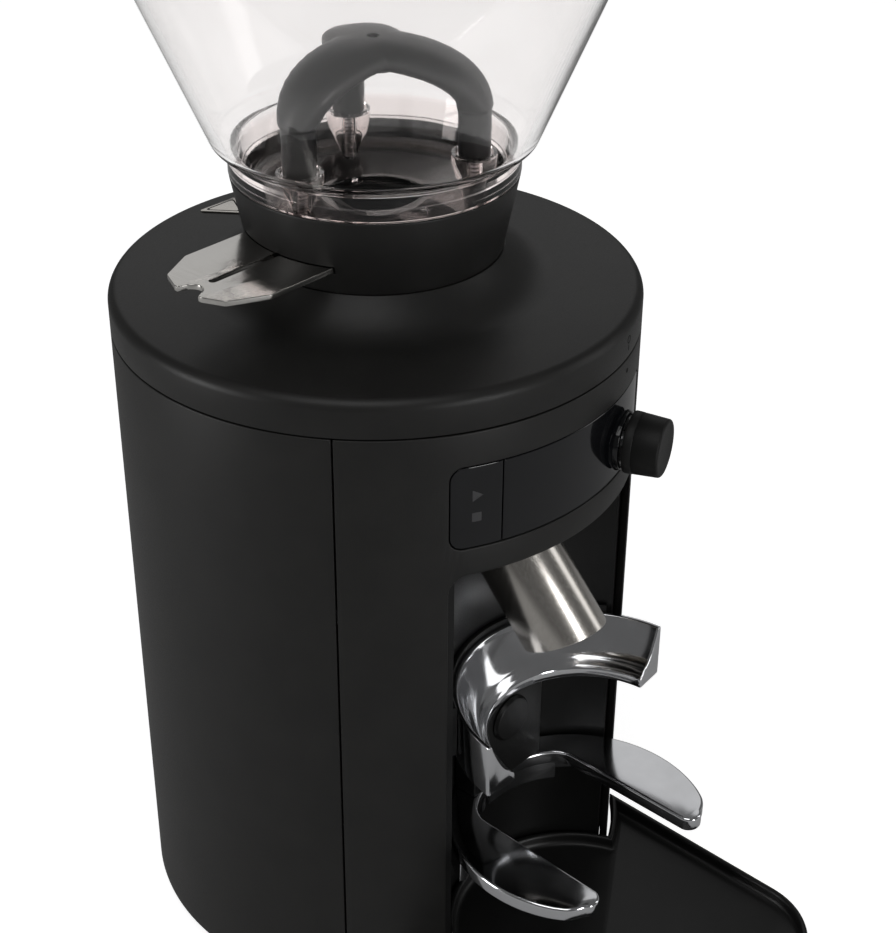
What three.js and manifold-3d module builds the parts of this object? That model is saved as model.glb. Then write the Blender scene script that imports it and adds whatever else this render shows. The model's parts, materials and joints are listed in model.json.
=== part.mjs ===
// Burr coffee grinder with a portafilter fork, in millimetres, +Z up.
// The front faces -Y. Every piece is first placed about the body's vertical axis,
// and the whole assembly is then moved so that the origin is the middle of its footprint.
import * as THREE from 'three';
import { mergeVertices } from 'three/addons/utils/BufferGeometryUtils.js';
import Module from 'manifold-3d';

const wasm = await Module();
wasm.setup();

// ---------------------------------------------------------------- driving sizes

const GAP = 0.3;                  // gap between seated neighbours
const RUN_GAP = 0.1;              // radial running clearance
const TINY = 0.05;                // gap between pieces that share one surface

// Body cylinder
const BODY_R = 95;
const BODY_TOP = 250.6;
const FOOT_H = 6;
const FOOT_R = 9;
const COVER_WALL = 3;
const SEAM = 0.6;
const COVER_SPLIT = 54.1;         // degrees either side of the front
const BASE_T = 6;
const POST_R = 4;
const POST_CIRCLE_R = 74;
const POST_AZIMUTHS = { left: -72, right: 72, rear_left: -140, rear_right: 140 };

// Recess behind the spout, an upright cylinder whose axis lies just outside the body
const RECESS_R = 52;
const RECESS_AXIS_OUT = 10.5;     // how far its axis lies outside the body's surface
const LINER_WALL = 2;
const FLANGE_LAP_IN = 1.5;         // degrees that the liner's flanges start inside the recess's edge
const FLANGE_LAP_OUT = 3.5;        // degrees that they reach behind the front cover
const OPENING_HALF_W = 49.4;
const OPENING_CORNER = 7;
const OPENING_DROP = 55.1;        // from the body's top to the opening's top edge

// Control window above the recess
const WINDOW_DROP = 12.6;
const WINDOW_H = 32;
const WINDOW_CORNER = 5;
const BUTTON_W = 16.8;
const BUTTON_CAP_T = 1.6;
const BUTTON_TRAVEL = 1.2;
const LENS_T = 2.4;
const FRAME_T = 3;
const DIAL_AZ = 20;
const DIAL_RISE = 11.5;             // above the window's lower edge
const DIAL_BEZEL_R = 10.6;
const KNOB_R = 11.3;
const KNOB_FACE_R = 10.5;
const KNOB_REACH = 15.5;
const KNOB_TRAVEL = 0.8;
const DIAL_SHAFT_R = 3;
const SWITCH_DEPTH = 5;

// Spout tube, in the plane X = 0, leaning forward as it comes down
const SPOUT_R = 15.46;
const SPOUT_WALL = 1.5;
const SPOUT_TILT = 42.85;         // degrees from vertical
const SPOUT_ROOT_OUT = 1.3;       // start of its axis in front of the grinding chamber
const SPOUT_ROOT_BELOW = 7.55;    // and below the chamber's underside
const SPOUT_END_BACK = 12.58;     // end of its axis behind the recess axis
const SPOUT_END_RISE = 29;        // degrees that the end cut rises towards the front

// Cradle and fork that hold the portafilter
const CRADLE_CLEAR = 2.5;         // cradle's wall inside the recess
const CRADLE_H = 22;
const CRADLE_LEDGE = 13;          // how far the lip stands in from the cradle's wall
const CRADLE_LIP_H = 4.5;
const CRADLE_SPAN = 84;           // degrees either side of the rear
const CRADLE_BELOW_SPOUT = 19;    // cradle's top below the tube's axis end
const FORK_DROP = 39;             // fork's top below the cradle's foot
const FORK_T = 6;
const FORK_CLEAR = 2.5;           // fork's back inside the recess
const FORK_OFFSET = 1.5;          // centre of its back behind the recess axis
const FORK_THROAT_OFFSET = 4;     // centre of its throat behind the recess axis
const FORK_GAP_HALF_W = 25.5;
const FORK_ARM_W = 12.7;          // width of the fork at its back
const FORK_REACH = 31.5;          // tips in front of the recess axis
const FORK_TIP_X = 31;
const FORK_TIP_R = 5;
const FORK_SKIRT_H = 15;
const FORK_SKIRT_T = 3;
const FORK_TRAVEL = 14;
const SPINE_HALF_W = 19.3;
const SPINE_DEPTH = 14.5;
const TONGUE_HALF_W = 5.5;
const CLAMP_R = 9.5;
const RAIL_T = 5;

// Tray
const TRAY_REACH = 184;
const TRAY_HALF_W = 67.5;
const TRAY_RIM_Z = 20;
const TRAY_FLOOR_Z = 14.9;
const TRAY_WALL = 2.5;
const TRAY_BASE_T = 2.5;
const TRAY_BOW = 1.75;            // how far the front's middle stands ahead of its ends
const TRAY_CLEAR = 1.2;           // round the body and in the recess
const TRAY_CORNER = 30;

// Grind ring and collar
const RING_RIM_H = 14.2;
const RING_FILLET = 4;
const RING_WALL = 3;
const RING_SHOULDER_R = 65;
const RING_TOP_H = 26.9;          // ring's crown above the body's top
const COLLAR_R = 45;
const COLLAR_TOP_R = 50.5;
const COLLAR_H = 27.8;
const COLLAR_WALL = 3;
const COLLAR_FLOOR_H = 13.4;
const THROAT_HALF_X = 15.5;
const THROAT_HALF_Y = 18;
const SLIDE_T = 2;
const SLIDE_HALF_W = 21.3;
const SLIDE_REACH = 86;
const SLIDE_TRAVEL = 34;
const SLIDE_END_CLEAR = 3.5;
const SLIDE_RISE = 8.0;           // slide's underside above the collar's foot
const SLOT_HALF_W = 1.3;
const PIN_X = -40;
const PIN_R = 0.9;

// Hopper, lid and guard arch
const HOPPER_WALL = 2.2;
const HOPPER_BAND_H = 9.2;
const HOPPER_SHOULDER_R = 56.4;
const HOPPER_RIM_R = 90.5;
const HOPPER_CONE_H = 89.15;      // cone's top above the seat on the collar
const HOPPER_RIM_H = 8.5;
const HOPPER_THROAT_R = 20;
const HOPPER_SIDES = 32;          // facets round the hopper, its lid and seal
const LID_R = 92.5;
const LID_H = 17;                 // lid's crown above the hopper's rim
const ARCH_LEG_CIRCLE_R = 35;
const ARCH_LEG_R = 6.2;
const ARCH_CROWN_H = 60.75;       // arch's crown above the hopper's foot
const ARCH_LEG_H = 21.75;         // foot of each leg above the hopper's foot
const ARCH_AZIMUTHS = [-90, 30, 150];

// Grinding set and motor
const SHAFT_R = 6;
const BURR_R = 32.5;
const BURR_HOLE_R = 19;
const BURR_T = 8;
const BURR_GAP = 0.8;
const CHAMBER_R = 49;
const CHAMBER_WALL = 4;
const CHAMBER_H = 44.5;
const CHAMBER_DROP = 0.6;         // chamber's top below the body's top
const CARRIER_T = 8;
const THREAD_HUB_R = 44.5;
const BEARING_R = 11;
const BEARING_H = 9;
const MOTOR_PLATE_DROP = 74.6;    // motor plate's underside below the body's top
const MOTOR_PLATE_T = 6;
const MOTOR_H = 92;
const MOTOR_CLEAR = 2.5;          // between the stator and the rail or the spout in front of it
const ROTOR_R = 28.5;
const FAN_R = 34;

// Power inlet and rocker switch in the rear cover
const INLET = { x: 0, z: 32, halfW: 14, halfH: 10.5 };
const ROCKER = { x: 0, z: 62, halfW: 10.5, halfH: 7 };

// ---------------------------------------------------------------- derived places

const COVER_IN_R = BODY_R - COVER_WALL;
const BASE_Z = FOOT_H;
const BASE_TOP = BASE_Z + BASE_T;
const RECESS_Y = -(BODY_R + RECESS_AXIS_OUT);
const RECESS_REAR_Y = RECESS_Y + RECESS_R;
const LINER_OUT_R = RECESS_R + LINER_WALL;
const CRADLE_R = RECESS_R - CRADLE_CLEAR;
const CRADLE_LIP_R = CRADLE_R - CRADLE_LEDGE;
const FORK_R = RECESS_R - FORK_CLEAR;
const FORK_THROAT_R = FORK_R - FORK_ARM_W;
const OPENING_TOP = BODY_TOP - OPENING_DROP;
const WINDOW_TOP = BODY_TOP - WINDOW_DROP;
const WINDOW_BOTTOM = WINDOW_TOP - WINDOW_H;
const WINDOW_MID = (WINDOW_TOP + WINDOW_BOTTOM) / 2;
const DIAL_Z = WINDOW_BOTTOM + DIAL_RISE;
const MOTOR_PLATE_Z = BODY_TOP - MOTOR_PLATE_DROP;
const CHAMBER_TOP = BODY_TOP - CHAMBER_DROP;
const CHAMBER_Z = CHAMBER_TOP - CHAMBER_H;
const CHAMBER_FLOOR_Z = CHAMBER_Z + 6;
const CHAMBER_IN_R = CHAMBER_R - CHAMBER_WALL;
const RAIL_FRONT_Y = RECESS_Y + LINER_OUT_R;
const RAIL_REAR_Y = RAIL_FRONT_Y + RAIL_T;
const RING_Z = BODY_TOP + SEAM;
const RING_RIM_TOP = BODY_TOP + RING_RIM_H;
const RING_TOP = BODY_TOP + RING_TOP_H;
const COLLAR_Z = RING_TOP + TINY;
const COLLAR_TOP = COLLAR_Z + COLLAR_H;
const COLLAR_FLOOR_TOP = COLLAR_Z + COLLAR_FLOOR_H;
const SLIDE_Z = COLLAR_Z + SLIDE_RISE;
const HOPPER_Z = COLLAR_FLOOR_TOP + GAP;
const HOPPER_SEAT_Z = COLLAR_TOP + TINY;
const HOPPER_CONE_TOP = HOPPER_SEAT_Z + HOPPER_CONE_H;
const HOPPER_RIM_TOP = HOPPER_CONE_TOP + HOPPER_RIM_H;
const OVERALL_TOP = HOPPER_RIM_TOP + LID_H;
const ARCH_CROWN_Z = HOPPER_Z + ARCH_CROWN_H;
const ARCH_LEG_Z = HOPPER_Z + ARCH_LEG_H;
const SPOUT_DIR = new THREE.Vector3(0, -Math.sin(rad(SPOUT_TILT)), -Math.cos(rad(SPOUT_TILT)));
const SPOUT_ROOT = new THREE.Vector3(0, -CHAMBER_R - SPOUT_ROOT_OUT, CHAMBER_Z - SPOUT_ROOT_BELOW);
const SPOUT_LENGTH = (RECESS_Y + SPOUT_END_BACK - SPOUT_ROOT.y) / SPOUT_DIR.y;
const CRADLE_TOP = spoutPoint(SPOUT_LENGTH).z - CRADLE_BELOW_SPOUT;
const CRADLE_Z = CRADLE_TOP - CRADLE_H;
const FORK_TOP = CRADLE_Z - FORK_DROP;
const MOTOR_TOP = MOTOR_PLATE_Z - TINY;
const MOTOR_Z = MOTOR_TOP - MOTOR_H;
const MOTOR_R = Math.min(-RAIL_REAR_Y, -spoutRearY(MOTOR_TOP)) - MOTOR_CLEAR;
const LENS_OUT_R = BODY_R - 0.2;
const LENS_IN_R = LENS_OUT_R - LENS_T;
const FRAME_OUT_R = COVER_IN_R - GAP;
const FRAME_IN_R = FRAME_OUT_R - FRAME_T;
const FLANGE_AZ_IN = meetingAzimuth(RECESS_R, FRAME_OUT_R).body - FLANGE_LAP_IN;
const FLANGE_AZ_OUT = degrees(Math.asin(OPENING_HALF_W / COVER_IN_R)) + FLANGE_LAP_OUT;
const DEPTH_SHIFT = (TRAY_REACH - BODY_R) / 2;

// ---------------------------------------------------------------- helpers

function rad(angle) {
  return angle * Math.PI / 180;
}

function degrees(angle) {
  return angle * 180 / Math.PI;
}

// Point on a circle about the vertical axis; azimuth 0 is the front, + towards +X.
function around(radius, azimuth, z = 0) {
  return new THREE.Vector3(radius * Math.sin(rad(azimuth)), -radius * Math.cos(rad(azimuth)), z);
}

function solid(geometry) {
  const plain = geometry.clone();
  plain.deleteAttribute('normal');
  plain.deleteAttribute('uv');
  const merged = mergeVertices(plain, 1e-4);
  const at = merged.attributes.position.array;
  const index = merged.index.array;
  const faces = [];
  let volume = 0;
  const a = new THREE.Vector3();
  const b = new THREE.Vector3();
  const c = new THREE.Vector3();
  for (let i = 0; i < index.length; i += 3) {
    const [p, q, r] = [index[i], index[i + 1], index[i + 2]];
    if (p === q || q === r || r === p) continue;
    faces.push(p, q, r);
    a.fromArray(at, p * 3);
    b.fromArray(at, q * 3);
    c.fromArray(at, r * 3);
    volume += a.dot(b.cross(c));
  }
  if (volume < 0) faces.reverse();
  const vertProperties = new Float32Array(at);
  const triVerts = new Uint32Array(faces);
  return new wasm.Manifold(new wasm.Mesh({ numProp: 3, vertProperties, triVerts }));
}

function toGeometry(body) {
  const mesh = body.getMesh();
  const geometry = new THREE.BufferGeometry();
  geometry.setAttribute('position', new THREE.BufferAttribute(mesh.vertProperties.slice(), 3));
  geometry.setIndex(new THREE.BufferAttribute(mesh.triVerts.slice(), 1));
  geometry.computeVertexNormals();
  return geometry;
}

function united(...bodies) {
  return bodies.reduce((all, body) => all.add(body));
}

function cut(body, ...tools) {
  return tools.reduce((rest, tool) => rest.subtract(tool), body);
}

function box(x0, x1, y0, y1, z0, z1) {
  const geometry = new THREE.BoxGeometry(x1 - x0, y1 - y0, z1 - z0);
  geometry.translate((x0 + x1) / 2, (y0 + y1) / 2, (z0 + z1) / 2);
  return solid(geometry);
}

// Solid of revolution about the vertical through (x, y); points are [radius, height].
function turned(points, segments = 48, x = 0, y = 0) {
  const profile = points.map(([r, z]) => new THREE.Vector2(r, z));
  const onAxis = points[0][0] === 0 && points[points.length - 1][0] === 0;
  if (!onAxis) profile.push(profile[0].clone());
  const geometry = new THREE.LatheGeometry(profile, segments);
  geometry.rotateX(Math.PI / 2);
  geometry.translate(x, y, 0);
  return solid(geometry);
}

function disc(radius, z0, z1, segments = 48, x = 0, y = 0) {
  return turned([[0, z0], [radius, z0], [radius, z1], [0, z1]], segments, x, y);
}

function ring(inner, outer, z0, z1, segments = 48, x = 0, y = 0) {
  return turned([[inner, z0], [outer, z0], [outer, z1], [inner, z1]], segments, x, y);
}

// Round bar, or cone, from one point to another.
function rod(from, to, r0, segments = 24, r1 = r0) {
  const along = new THREE.Vector3().subVectors(to, from);
  const geometry = new THREE.CylinderGeometry(r1, r0, along.length(), segments);
  geometry.translate(0, along.length() / 2, 0);
  const up = new THREE.Vector3(0, 1, 0);
  geometry.applyQuaternion(new THREE.Quaternion().setFromUnitVectors(up, along.normalize()));
  geometry.translate(from.x, from.y, from.z);
  return solid(geometry);
}

function extruded(points, z0, z1, hole = null) {
  const shape = new THREE.Shape(points.map(([x, y]) => new THREE.Vector2(x, y)));
  if (hole) shape.holes.push(new THREE.Path(hole.map(([x, y]) => new THREE.Vector2(x, y))));
  const geometry = new THREE.ExtrudeGeometry(shape, { depth: z1 - z0, bevelEnabled: false });
  geometry.translate(0, 0, z0);
  return solid(geometry);
}

function arcPoints(cx, cy, radius, fromDeg, toDeg, steps) {
  const points = [];
  for (let i = 0; i <= steps; i += 1) {
    const angle = rad(fromDeg + (toDeg - fromDeg) * i / steps);
    points.push([cx + radius * Math.cos(angle), cy + radius * Math.sin(angle)]);
  }
  return points;
}

// Upright shell between two radii and two azimuths, about the vertical through (0, y).
function sector(inner, outer, az0, az1, z0, z1, y = 0, steps = 0) {
  const count = steps || Math.max(4, Math.ceil(Math.abs(az1 - az0) / 4));
  const outside = arcPoints(0, y, outer, az0 - 90, az1 - 90, count);
  const inside = arcPoints(0, y, inner, az1 - 90, az0 - 90, count);
  return extruded([...outside, ...inside], z0, z1);
}

// Prism along Y with a round-cornered rectangle as its section in X and Z.
function frontCutter(x0, x1, z0, z1, corner, y0, y1) {
  const steps = 5;
  const section = [
    ...arcPoints(x1 - corner, z0 + corner, corner, -90, 0, steps),
    ...arcPoints(x1 - corner, z1 - corner, corner, 0, 90, steps),
    ...arcPoints(x0 + corner, z1 - corner, corner, 90, 180, steps),
    ...arcPoints(x0 + corner, z0 + corner, corner, 180, 270, steps),
  ];
  const shape = new THREE.Shape(section.map(([x, z]) => new THREE.Vector2(x, z)));
  const geometry = new THREE.ExtrudeGeometry(shape, { depth: y1 - y0, bevelEnabled: false });
  geometry.rotateX(Math.PI / 2);
  geometry.translate(0, y1, 0);
  return solid(geometry);
}

// Point on the spout's axis, at a distance down it from the root.
function spoutPoint(t) {
  return SPOUT_ROOT.clone().addScaledVector(SPOUT_DIR, t);
}

// Y of the spout's rear wall at a height.
function spoutRearY(z) {
  const axisY = SPOUT_ROOT.y - (SPOUT_ROOT.z - z) * Math.tan(rad(SPOUT_TILT));
  return axisY + SPOUT_R / Math.cos(rad(SPOUT_TILT));
}

// Bar about the dial's axis, from one distance outside the body's surface to another.
function dialRod(out0, out1, r0, segments = 32, r1 = r0) {
  const from = around(BODY_R + out0, DIAL_AZ, DIAL_Z);
  const to = around(BODY_R + out1, DIAL_AZ, DIAL_Z);
  return rod(from, to, r0, segments, r1);
}

// ---------------------------------------------------------------- base and covers

function basePlate() {
  const plate = disc(COVER_IN_R - GAP, BASE_Z, BASE_TOP);
  const bosses = [[-30, 48], [30, 48], [-30, 74], [30, 74]].map(([x, y]) => (
    rod(new THREE.Vector3(x, y, BASE_TOP - 1), new THREE.Vector3(x, y, BASE_TOP + 6), 3.5, 8)
  ));
  return united(plate, ...bosses);
}

function foot(azimuth) {
  const at = around(BODY_R - 22, azimuth);
  const top = FOOT_H - TINY;
  return turned([[0, 0], [FOOT_R - 1, 0], [FOOT_R, 1], [FOOT_R, top], [0, top]], 16, at.x, at.y);
}

function frontCover() {
  const split = COVER_SPLIT;
  const shell = sector(COVER_IN_R, BODY_R, -split, split, BASE_Z, BODY_TOP, 0, 24);
  const window = frontCutter(
    -OPENING_HALF_W, OPENING_HALF_W, WINDOW_BOTTOM, WINDOW_TOP, WINDOW_CORNER, -BODY_R - 5, -40,
  );
  const opening = frontCutter(
    -OPENING_HALF_W, OPENING_HALF_W, BASE_Z - 20, OPENING_TOP, OPENING_CORNER, -BODY_R - 5, -40,
  );
  return cut(shell, window, opening);
}


function rearCover() {
  const seamAngle = degrees(SEAM / BODY_R);
  const start = COVER_SPLIT + seamAngle;
  const shell = sector(COVER_IN_R, BODY_R, start, 360 - start, BASE_Z, BODY_TOP, 0, 50);
  const holes = [INLET, ROCKER].map((port) => box(
    port.x - port.halfW - GAP, port.x + port.halfW + GAP, BODY_R - 12, BODY_R + 5,
    port.z - port.halfH - GAP, port.z + port.halfH + GAP,
  ));
  return cut(shell, ...holes);
}

function recessLiner() {
  const shell = disc(LINER_OUT_R, BASE_TOP + GAP, OPENING_TOP + LINER_WALL, 48, 0, RECESS_Y);
  const hollow = disc(RECESS_R, BASE_TOP, OPENING_TOP, 48, 0, RECESS_Y);
  const inside = disc(FRAME_OUT_R, BASE_TOP, OPENING_TOP + 10, 48);
  const flanges = [-1, 1].map((side) => sector(
    FRAME_IN_R, FRAME_OUT_R, side * FLANGE_AZ_IN, side * FLANGE_AZ_OUT,
    BASE_TOP + GAP, OPENING_TOP + LINER_WALL,
  ));
  const slot = box(
    -TONGUE_HALF_W - 0.6, TONGUE_HALF_W + 0.6, RECESS_REAR_Y - 8, RECESS_REAR_Y + 8,
    FORK_TOP + 3 - FORK_TRAVEL, CRADLE_Z - 6,
  );
  const spoutWay = rod(spoutPoint(-5), spoutPoint(SPOUT_LENGTH), SPOUT_R + 1.2, 32);
  return cut(united(shell.intersect(inside), ...flanges), hollow, slot, spoutWay);
}

function framePost(azimuth) {
  const at = around(POST_CIRCLE_R, azimuth);
  return disc(POST_R, BASE_TOP + TINY, MOTOR_PLATE_Z - TINY, 16, at.x, at.y);
}

function motorPlate() {
  const top = MOTOR_PLATE_Z + MOTOR_PLATE_T;
  const plate = disc(COVER_IN_R - GAP, MOTOR_PLATE_Z, top);
  const recess = disc(LINER_OUT_R + 0.5, MOTOR_PLATE_Z - 1, top + 1, 40, 0, RECESS_Y);
  const shaftHole = disc(BEARING_R + 3, MOTOR_PLATE_Z - 1, top + 1, 32);
  const spoutWay = rod(spoutPoint(-8), spoutPoint(SPOUT_LENGTH), SPOUT_R + 5, 32);
  const flangeWays = [-1, 1].map((side) => sector(
    FRAME_IN_R - GAP, BODY_R, side * (FLANGE_AZ_IN - 1), side * (FLANGE_AZ_OUT + 1),
    MOTOR_PLATE_Z - 1, top + 1,
  ));
  return cut(plate, recess, shaftHole, spoutWay, ...flangeWays);
}

// ---------------------------------------------------------------- motor and grinding set

function motorStator() {
  const floor = MOTOR_Z + 7;
  return turned([
    [SHAFT_R + 2, MOTOR_Z], [MOTOR_R - 4, MOTOR_Z], [MOTOR_R, MOTOR_Z + 4],
    [MOTOR_R, MOTOR_TOP], [ROTOR_R + 1.5, MOTOR_TOP], [ROTOR_R + 1.5, floor + 10],
    [BEARING_R + RUN_GAP, floor + 10], [BEARING_R + RUN_GAP, floor], [SHAFT_R + 2, floor],
  ], 32);
}

function bearing(z) {
  return ring(SHAFT_R + RUN_GAP, BEARING_R, z, z + BEARING_H, 32);
}

const LOWER_BEARING_Z = MOTOR_Z + 7 + TINY;
const UPPER_BEARING_Z = MOTOR_PLATE_Z + MOTOR_PLATE_T + 8;
const LOWER_CARRIER_Z = CHAMBER_FLOOR_Z + 1.5;
const LOWER_BURR_Z = LOWER_CARRIER_Z + CARRIER_T + TINY;
const UPPER_BURR_Z = LOWER_BURR_Z + BURR_T + BURR_GAP;
const UPPER_CARRIER_Z = UPPER_BURR_Z + BURR_T + TINY;
const SHAFT_TOP = LOWER_BURR_Z + 6;
const FAN_Z = MOTOR_Z - 9;
const SHAFT_Z = FAN_Z - 4;

function driveShaft() {
  return disc(SHAFT_R, SHAFT_Z, SHAFT_TOP, 32);
}

function rotorCore() {
  const z0 = LOWER_BEARING_Z + BEARING_H + 3;
  return ring(SHAFT_R + RUN_GAP, ROTOR_R, z0, MOTOR_TOP - 6, 32);
}

function coolingFan() {
  const hub = ring(SHAFT_R + RUN_GAP, 14, FAN_Z, FAN_Z + 7, 20);
  const web = ring(12, FAN_R, FAN_Z, FAN_Z + 1.6, 20);
  const blades = [];
  for (let i = 0; i < 6; i += 1) {
    const geometry = new THREE.BoxGeometry(FAN_R - 15, 1.6, 6);
    geometry.translate((FAN_R + 12) / 2, 0, FAN_Z + 4);
    geometry.rotateZ(i * Math.PI / 3);
    blades.push(solid(geometry));
  }
  return united(hub, web, ...blades);
}

// Cup round the burrs, with the pedestal that holds the upper bearing and the chute for the grounds.
function grindingChamber() {
  const plateTop = MOTOR_PLATE_Z + MOTOR_PLATE_T;
  const outside = turned([
    [0, plateTop + TINY], [24, plateTop + TINY], [24, plateTop + 5], [17, plateTop + 8],
    [17, CHAMBER_Z - 3], [22, CHAMBER_Z], [CHAMBER_R, CHAMBER_Z], [CHAMBER_R, CHAMBER_TOP], [0, CHAMBER_TOP],
  ], 32);
  const chute = rod(spoutPoint(0), spoutPoint(-22), SPOUT_R + 1, 28);
  const cup = disc(CHAMBER_IN_R, CHAMBER_FLOOR_Z, CHAMBER_TOP + 20, 36);
  const bore = rod(
    spoutPoint(5), spoutPoint(-20), SPOUT_R - SPOUT_WALL, 24,
  );
  const shaftHole = disc(SHAFT_R + 1.2, plateTop - 1, CHAMBER_FLOOR_Z + 5, 24);
  const seat = disc(BEARING_R + RUN_GAP, plateTop - 1, UPPER_BEARING_Z + BEARING_H + TINY, 32);
  return cut(united(outside, chute), cup, bore, shaftHole, seat);
}

function burrCarrierLower() {
  const z1 = LOWER_CARRIER_Z + CARRIER_T;
  const plate = turned([
    [SHAFT_R + RUN_GAP, LOWER_CARRIER_Z], [CHAMBER_IN_R - 5, LOWER_CARRIER_Z],
    [CHAMBER_IN_R - 5, LOWER_CARRIER_Z + 3], [BURR_R + 1, z1], [SHAFT_R + RUN_GAP, z1],
  ], 32);
  const sweepers = [0, 180].map((turn) => {
    const geometry = new THREE.BoxGeometry(8, 4, 5);
    geometry.translate(CHAMBER_IN_R - 5.2, 0, LOWER_CARRIER_Z + 2.5);
    geometry.rotateZ(rad(turn));
    return solid(geometry);
  });
  return united(plate, ...sweepers);
}

function lowerBurr() {
  const z1 = LOWER_BURR_Z + BURR_T;
  return turned([
    [BURR_HOLE_R, LOWER_BURR_Z], [BURR_R, LOWER_BURR_Z], [BURR_R, z1], [BURR_R - 8, z1],
    [BURR_HOLE_R, z1 - 3.5],
  ], 32);
}

function upperBurr() {
  const z1 = UPPER_BURR_Z + BURR_T;
  return turned([
    [BURR_HOLE_R, UPPER_BURR_Z + 3.5], [BURR_R - 8, UPPER_BURR_Z], [BURR_R, UPPER_BURR_Z],
    [BURR_R, z1], [BURR_HOLE_R, z1],
  ], 32);
}

const HUB_IN_R = THREAD_HUB_R - 3;

function burrCarrierUpper() {
  return turned([
    [BURR_HOLE_R, UPPER_CARRIER_Z], [HUB_IN_R - RUN_GAP - GAP, UPPER_CARRIER_Z],
    [HUB_IN_R - RUN_GAP - GAP, UPPER_CARRIER_Z + 10], [HUB_IN_R - 5, UPPER_CARRIER_Z + 10],
    [BURR_HOLE_R + 3, UPPER_CARRIER_Z + 4],
  ], 48);
}

// ---------------------------------------------------------------- spout, cradle and fork

function spoutTube() {
  const start = spoutPoint(GAP);
  const past = spoutPoint(SPOUT_LENGTH + 30);
  const tube = cut(
    rod(start, past, SPOUT_R, 32),
    rod(spoutPoint(-5), spoutPoint(SPOUT_LENGTH + 40), SPOUT_R - SPOUT_WALL, 32),
  );
  const reach = 120;
  const knife = new THREE.BoxGeometry(reach, reach, reach);
  knife.translate(0, 0, -reach / 2);
  knife.rotateX(-rad(SPOUT_END_RISE));
  const end = spoutPoint(SPOUT_LENGTH);
  knife.translate(end.x, end.y, end.z);
  return tube.subtract(solid(knife));
}

function cradle() {
  const inner = CRADLE_R - 1.5;
  const slope = [];
  const steps = 4;
  for (let i = 0; i <= steps; i += 1) {
    const s = i / steps;
    const r = inner + (CRADLE_LIP_R + 2 - inner) * s;
    const drop = (CRADLE_H - CRADLE_LIP_H - 2) * (1 - (1 - s) ** 1.7);
    slope.push([r, CRADLE_TOP - drop]);
  }
  const whole = turned([
    [CRADLE_LIP_R, CRADLE_Z + 1], [CRADLE_LIP_R + 1, CRADLE_Z], [CRADLE_R - 1, CRADLE_Z],
    [CRADLE_R, CRADLE_Z + 1], [CRADLE_R, CRADLE_TOP - 0.6], [CRADLE_R - 0.6, CRADLE_TOP],
    ...slope,
    [CRADLE_LIP_R + 1.2, CRADLE_Z + CRADLE_LIP_H], [CRADLE_LIP_R, CRADLE_Z + CRADLE_LIP_H - 0.8],
  ], 48, 0, RECESS_Y);
  const keep = sector(
    0.5, CRADLE_R + 5, 180 - CRADLE_SPAN, 180 + CRADLE_SPAN, CRADLE_Z - 5, CRADLE_TOP + 5, RECESS_Y, 8,
  );
  return whole.intersect(keep);
}

function cradleBracket() {
  const span = 58;
  return sector(
    CRADLE_R + GAP, RECESS_R - GAP, 180 - span, 180 + span, CRADLE_Z + 3, CRADLE_TOP + 2.5, RECESS_Y, 18,
  );
}

// Outline of the fork, seen from above: a round back, two tapering arms and rounded tips.
function forkOutline() {
  const tipY = RECESS_Y - FORK_REACH + FORK_TIP_R;
  const centreY = RECESS_Y + FORK_OFFSET;
  const startAngle = -36;
  const right = arcPoints(FORK_TIP_X, tipY, FORK_TIP_R, -170, -40, 6);
  const back = arcPoints(0, centreY, FORK_R, startAngle, 180 - startAngle, 32);
  const left = arcPoints(-FORK_TIP_X, tipY, FORK_TIP_R, -140, -10, 6);
  const throatHalf = degrees(Math.asin(FORK_GAP_HALF_W / FORK_THROAT_R));
  const throatY = RECESS_Y + FORK_THROAT_OFFSET;
  const throat = arcPoints(0, throatY, FORK_THROAT_R, 90 + throatHalf, 90 - throatHalf, 18);
  return [...right, ...back, ...left, ...throat];
}

function fork() {
  const plate = extruded(forkOutline(), FORK_TOP - FORK_T, FORK_TOP);
  const centreY = RECESS_Y + FORK_OFFSET;
  const outerSkirt = sector(
    FORK_R - FORK_SKIRT_T, FORK_R - 0.2, 180 - 66, 180 + 66,
    FORK_TOP - FORK_SKIRT_H, FORK_TOP - 1, centreY, 18,
  );
  const innerSkirt = sector(
    FORK_THROAT_R + 1.5, FORK_THROAT_R + 4.5, 180 - 40, 180 + 8, FORK_TOP - FORK_SKIRT_H, FORK_TOP - 1,
    RECESS_Y + FORK_THROAT_OFFSET, 12,
  );
  const lowSkirt = sector(
    FORK_THROAT_R + 1.5, FORK_THROAT_R + 4.5, 180 + 12, 180 + 40, FORK_TOP - FORK_SKIRT_H, FORK_TOP - 1,
    RECESS_Y + FORK_THROAT_OFFSET, 8,
  );
  return united(plate, outerSkirt, innerSkirt, lowSkirt);
}

const SPINE_TOP = CRADLE_Z - 0.6;
const SPINE_FRONT_Y = RECESS_REAR_Y - SPINE_DEPTH;
const CLAMP_Z = SPINE_TOP - CLAMP_R - 0.5;

// Block above the fork, with the tongue that runs in the liner's slot.
function forkBracket() {
  const block = box(
    -SPINE_HALF_W, SPINE_HALF_W, SPINE_FRONT_Y, RECESS_REAR_Y + 1, FORK_TOP + TINY, SPINE_TOP,
  ).intersect(disc(RECESS_R - 0.5, FORK_TOP, SPINE_TOP + 1, 72, 0, RECESS_Y));
  const tongue = box(
    -TONGUE_HALF_W, TONGUE_HALF_W, RECESS_REAR_Y - 4, RAIL_REAR_Y - 0.4, FORK_TOP + 4, SPINE_TOP - 8,
  );
  const front = new THREE.Vector3(0, SPINE_FRONT_Y - 2, CLAMP_Z);
  const bore = rod(front, new THREE.Vector3(0, SPINE_FRONT_Y + 9, CLAMP_Z), 3.3, 24);
  return cut(united(block, tongue), bore);
}

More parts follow.
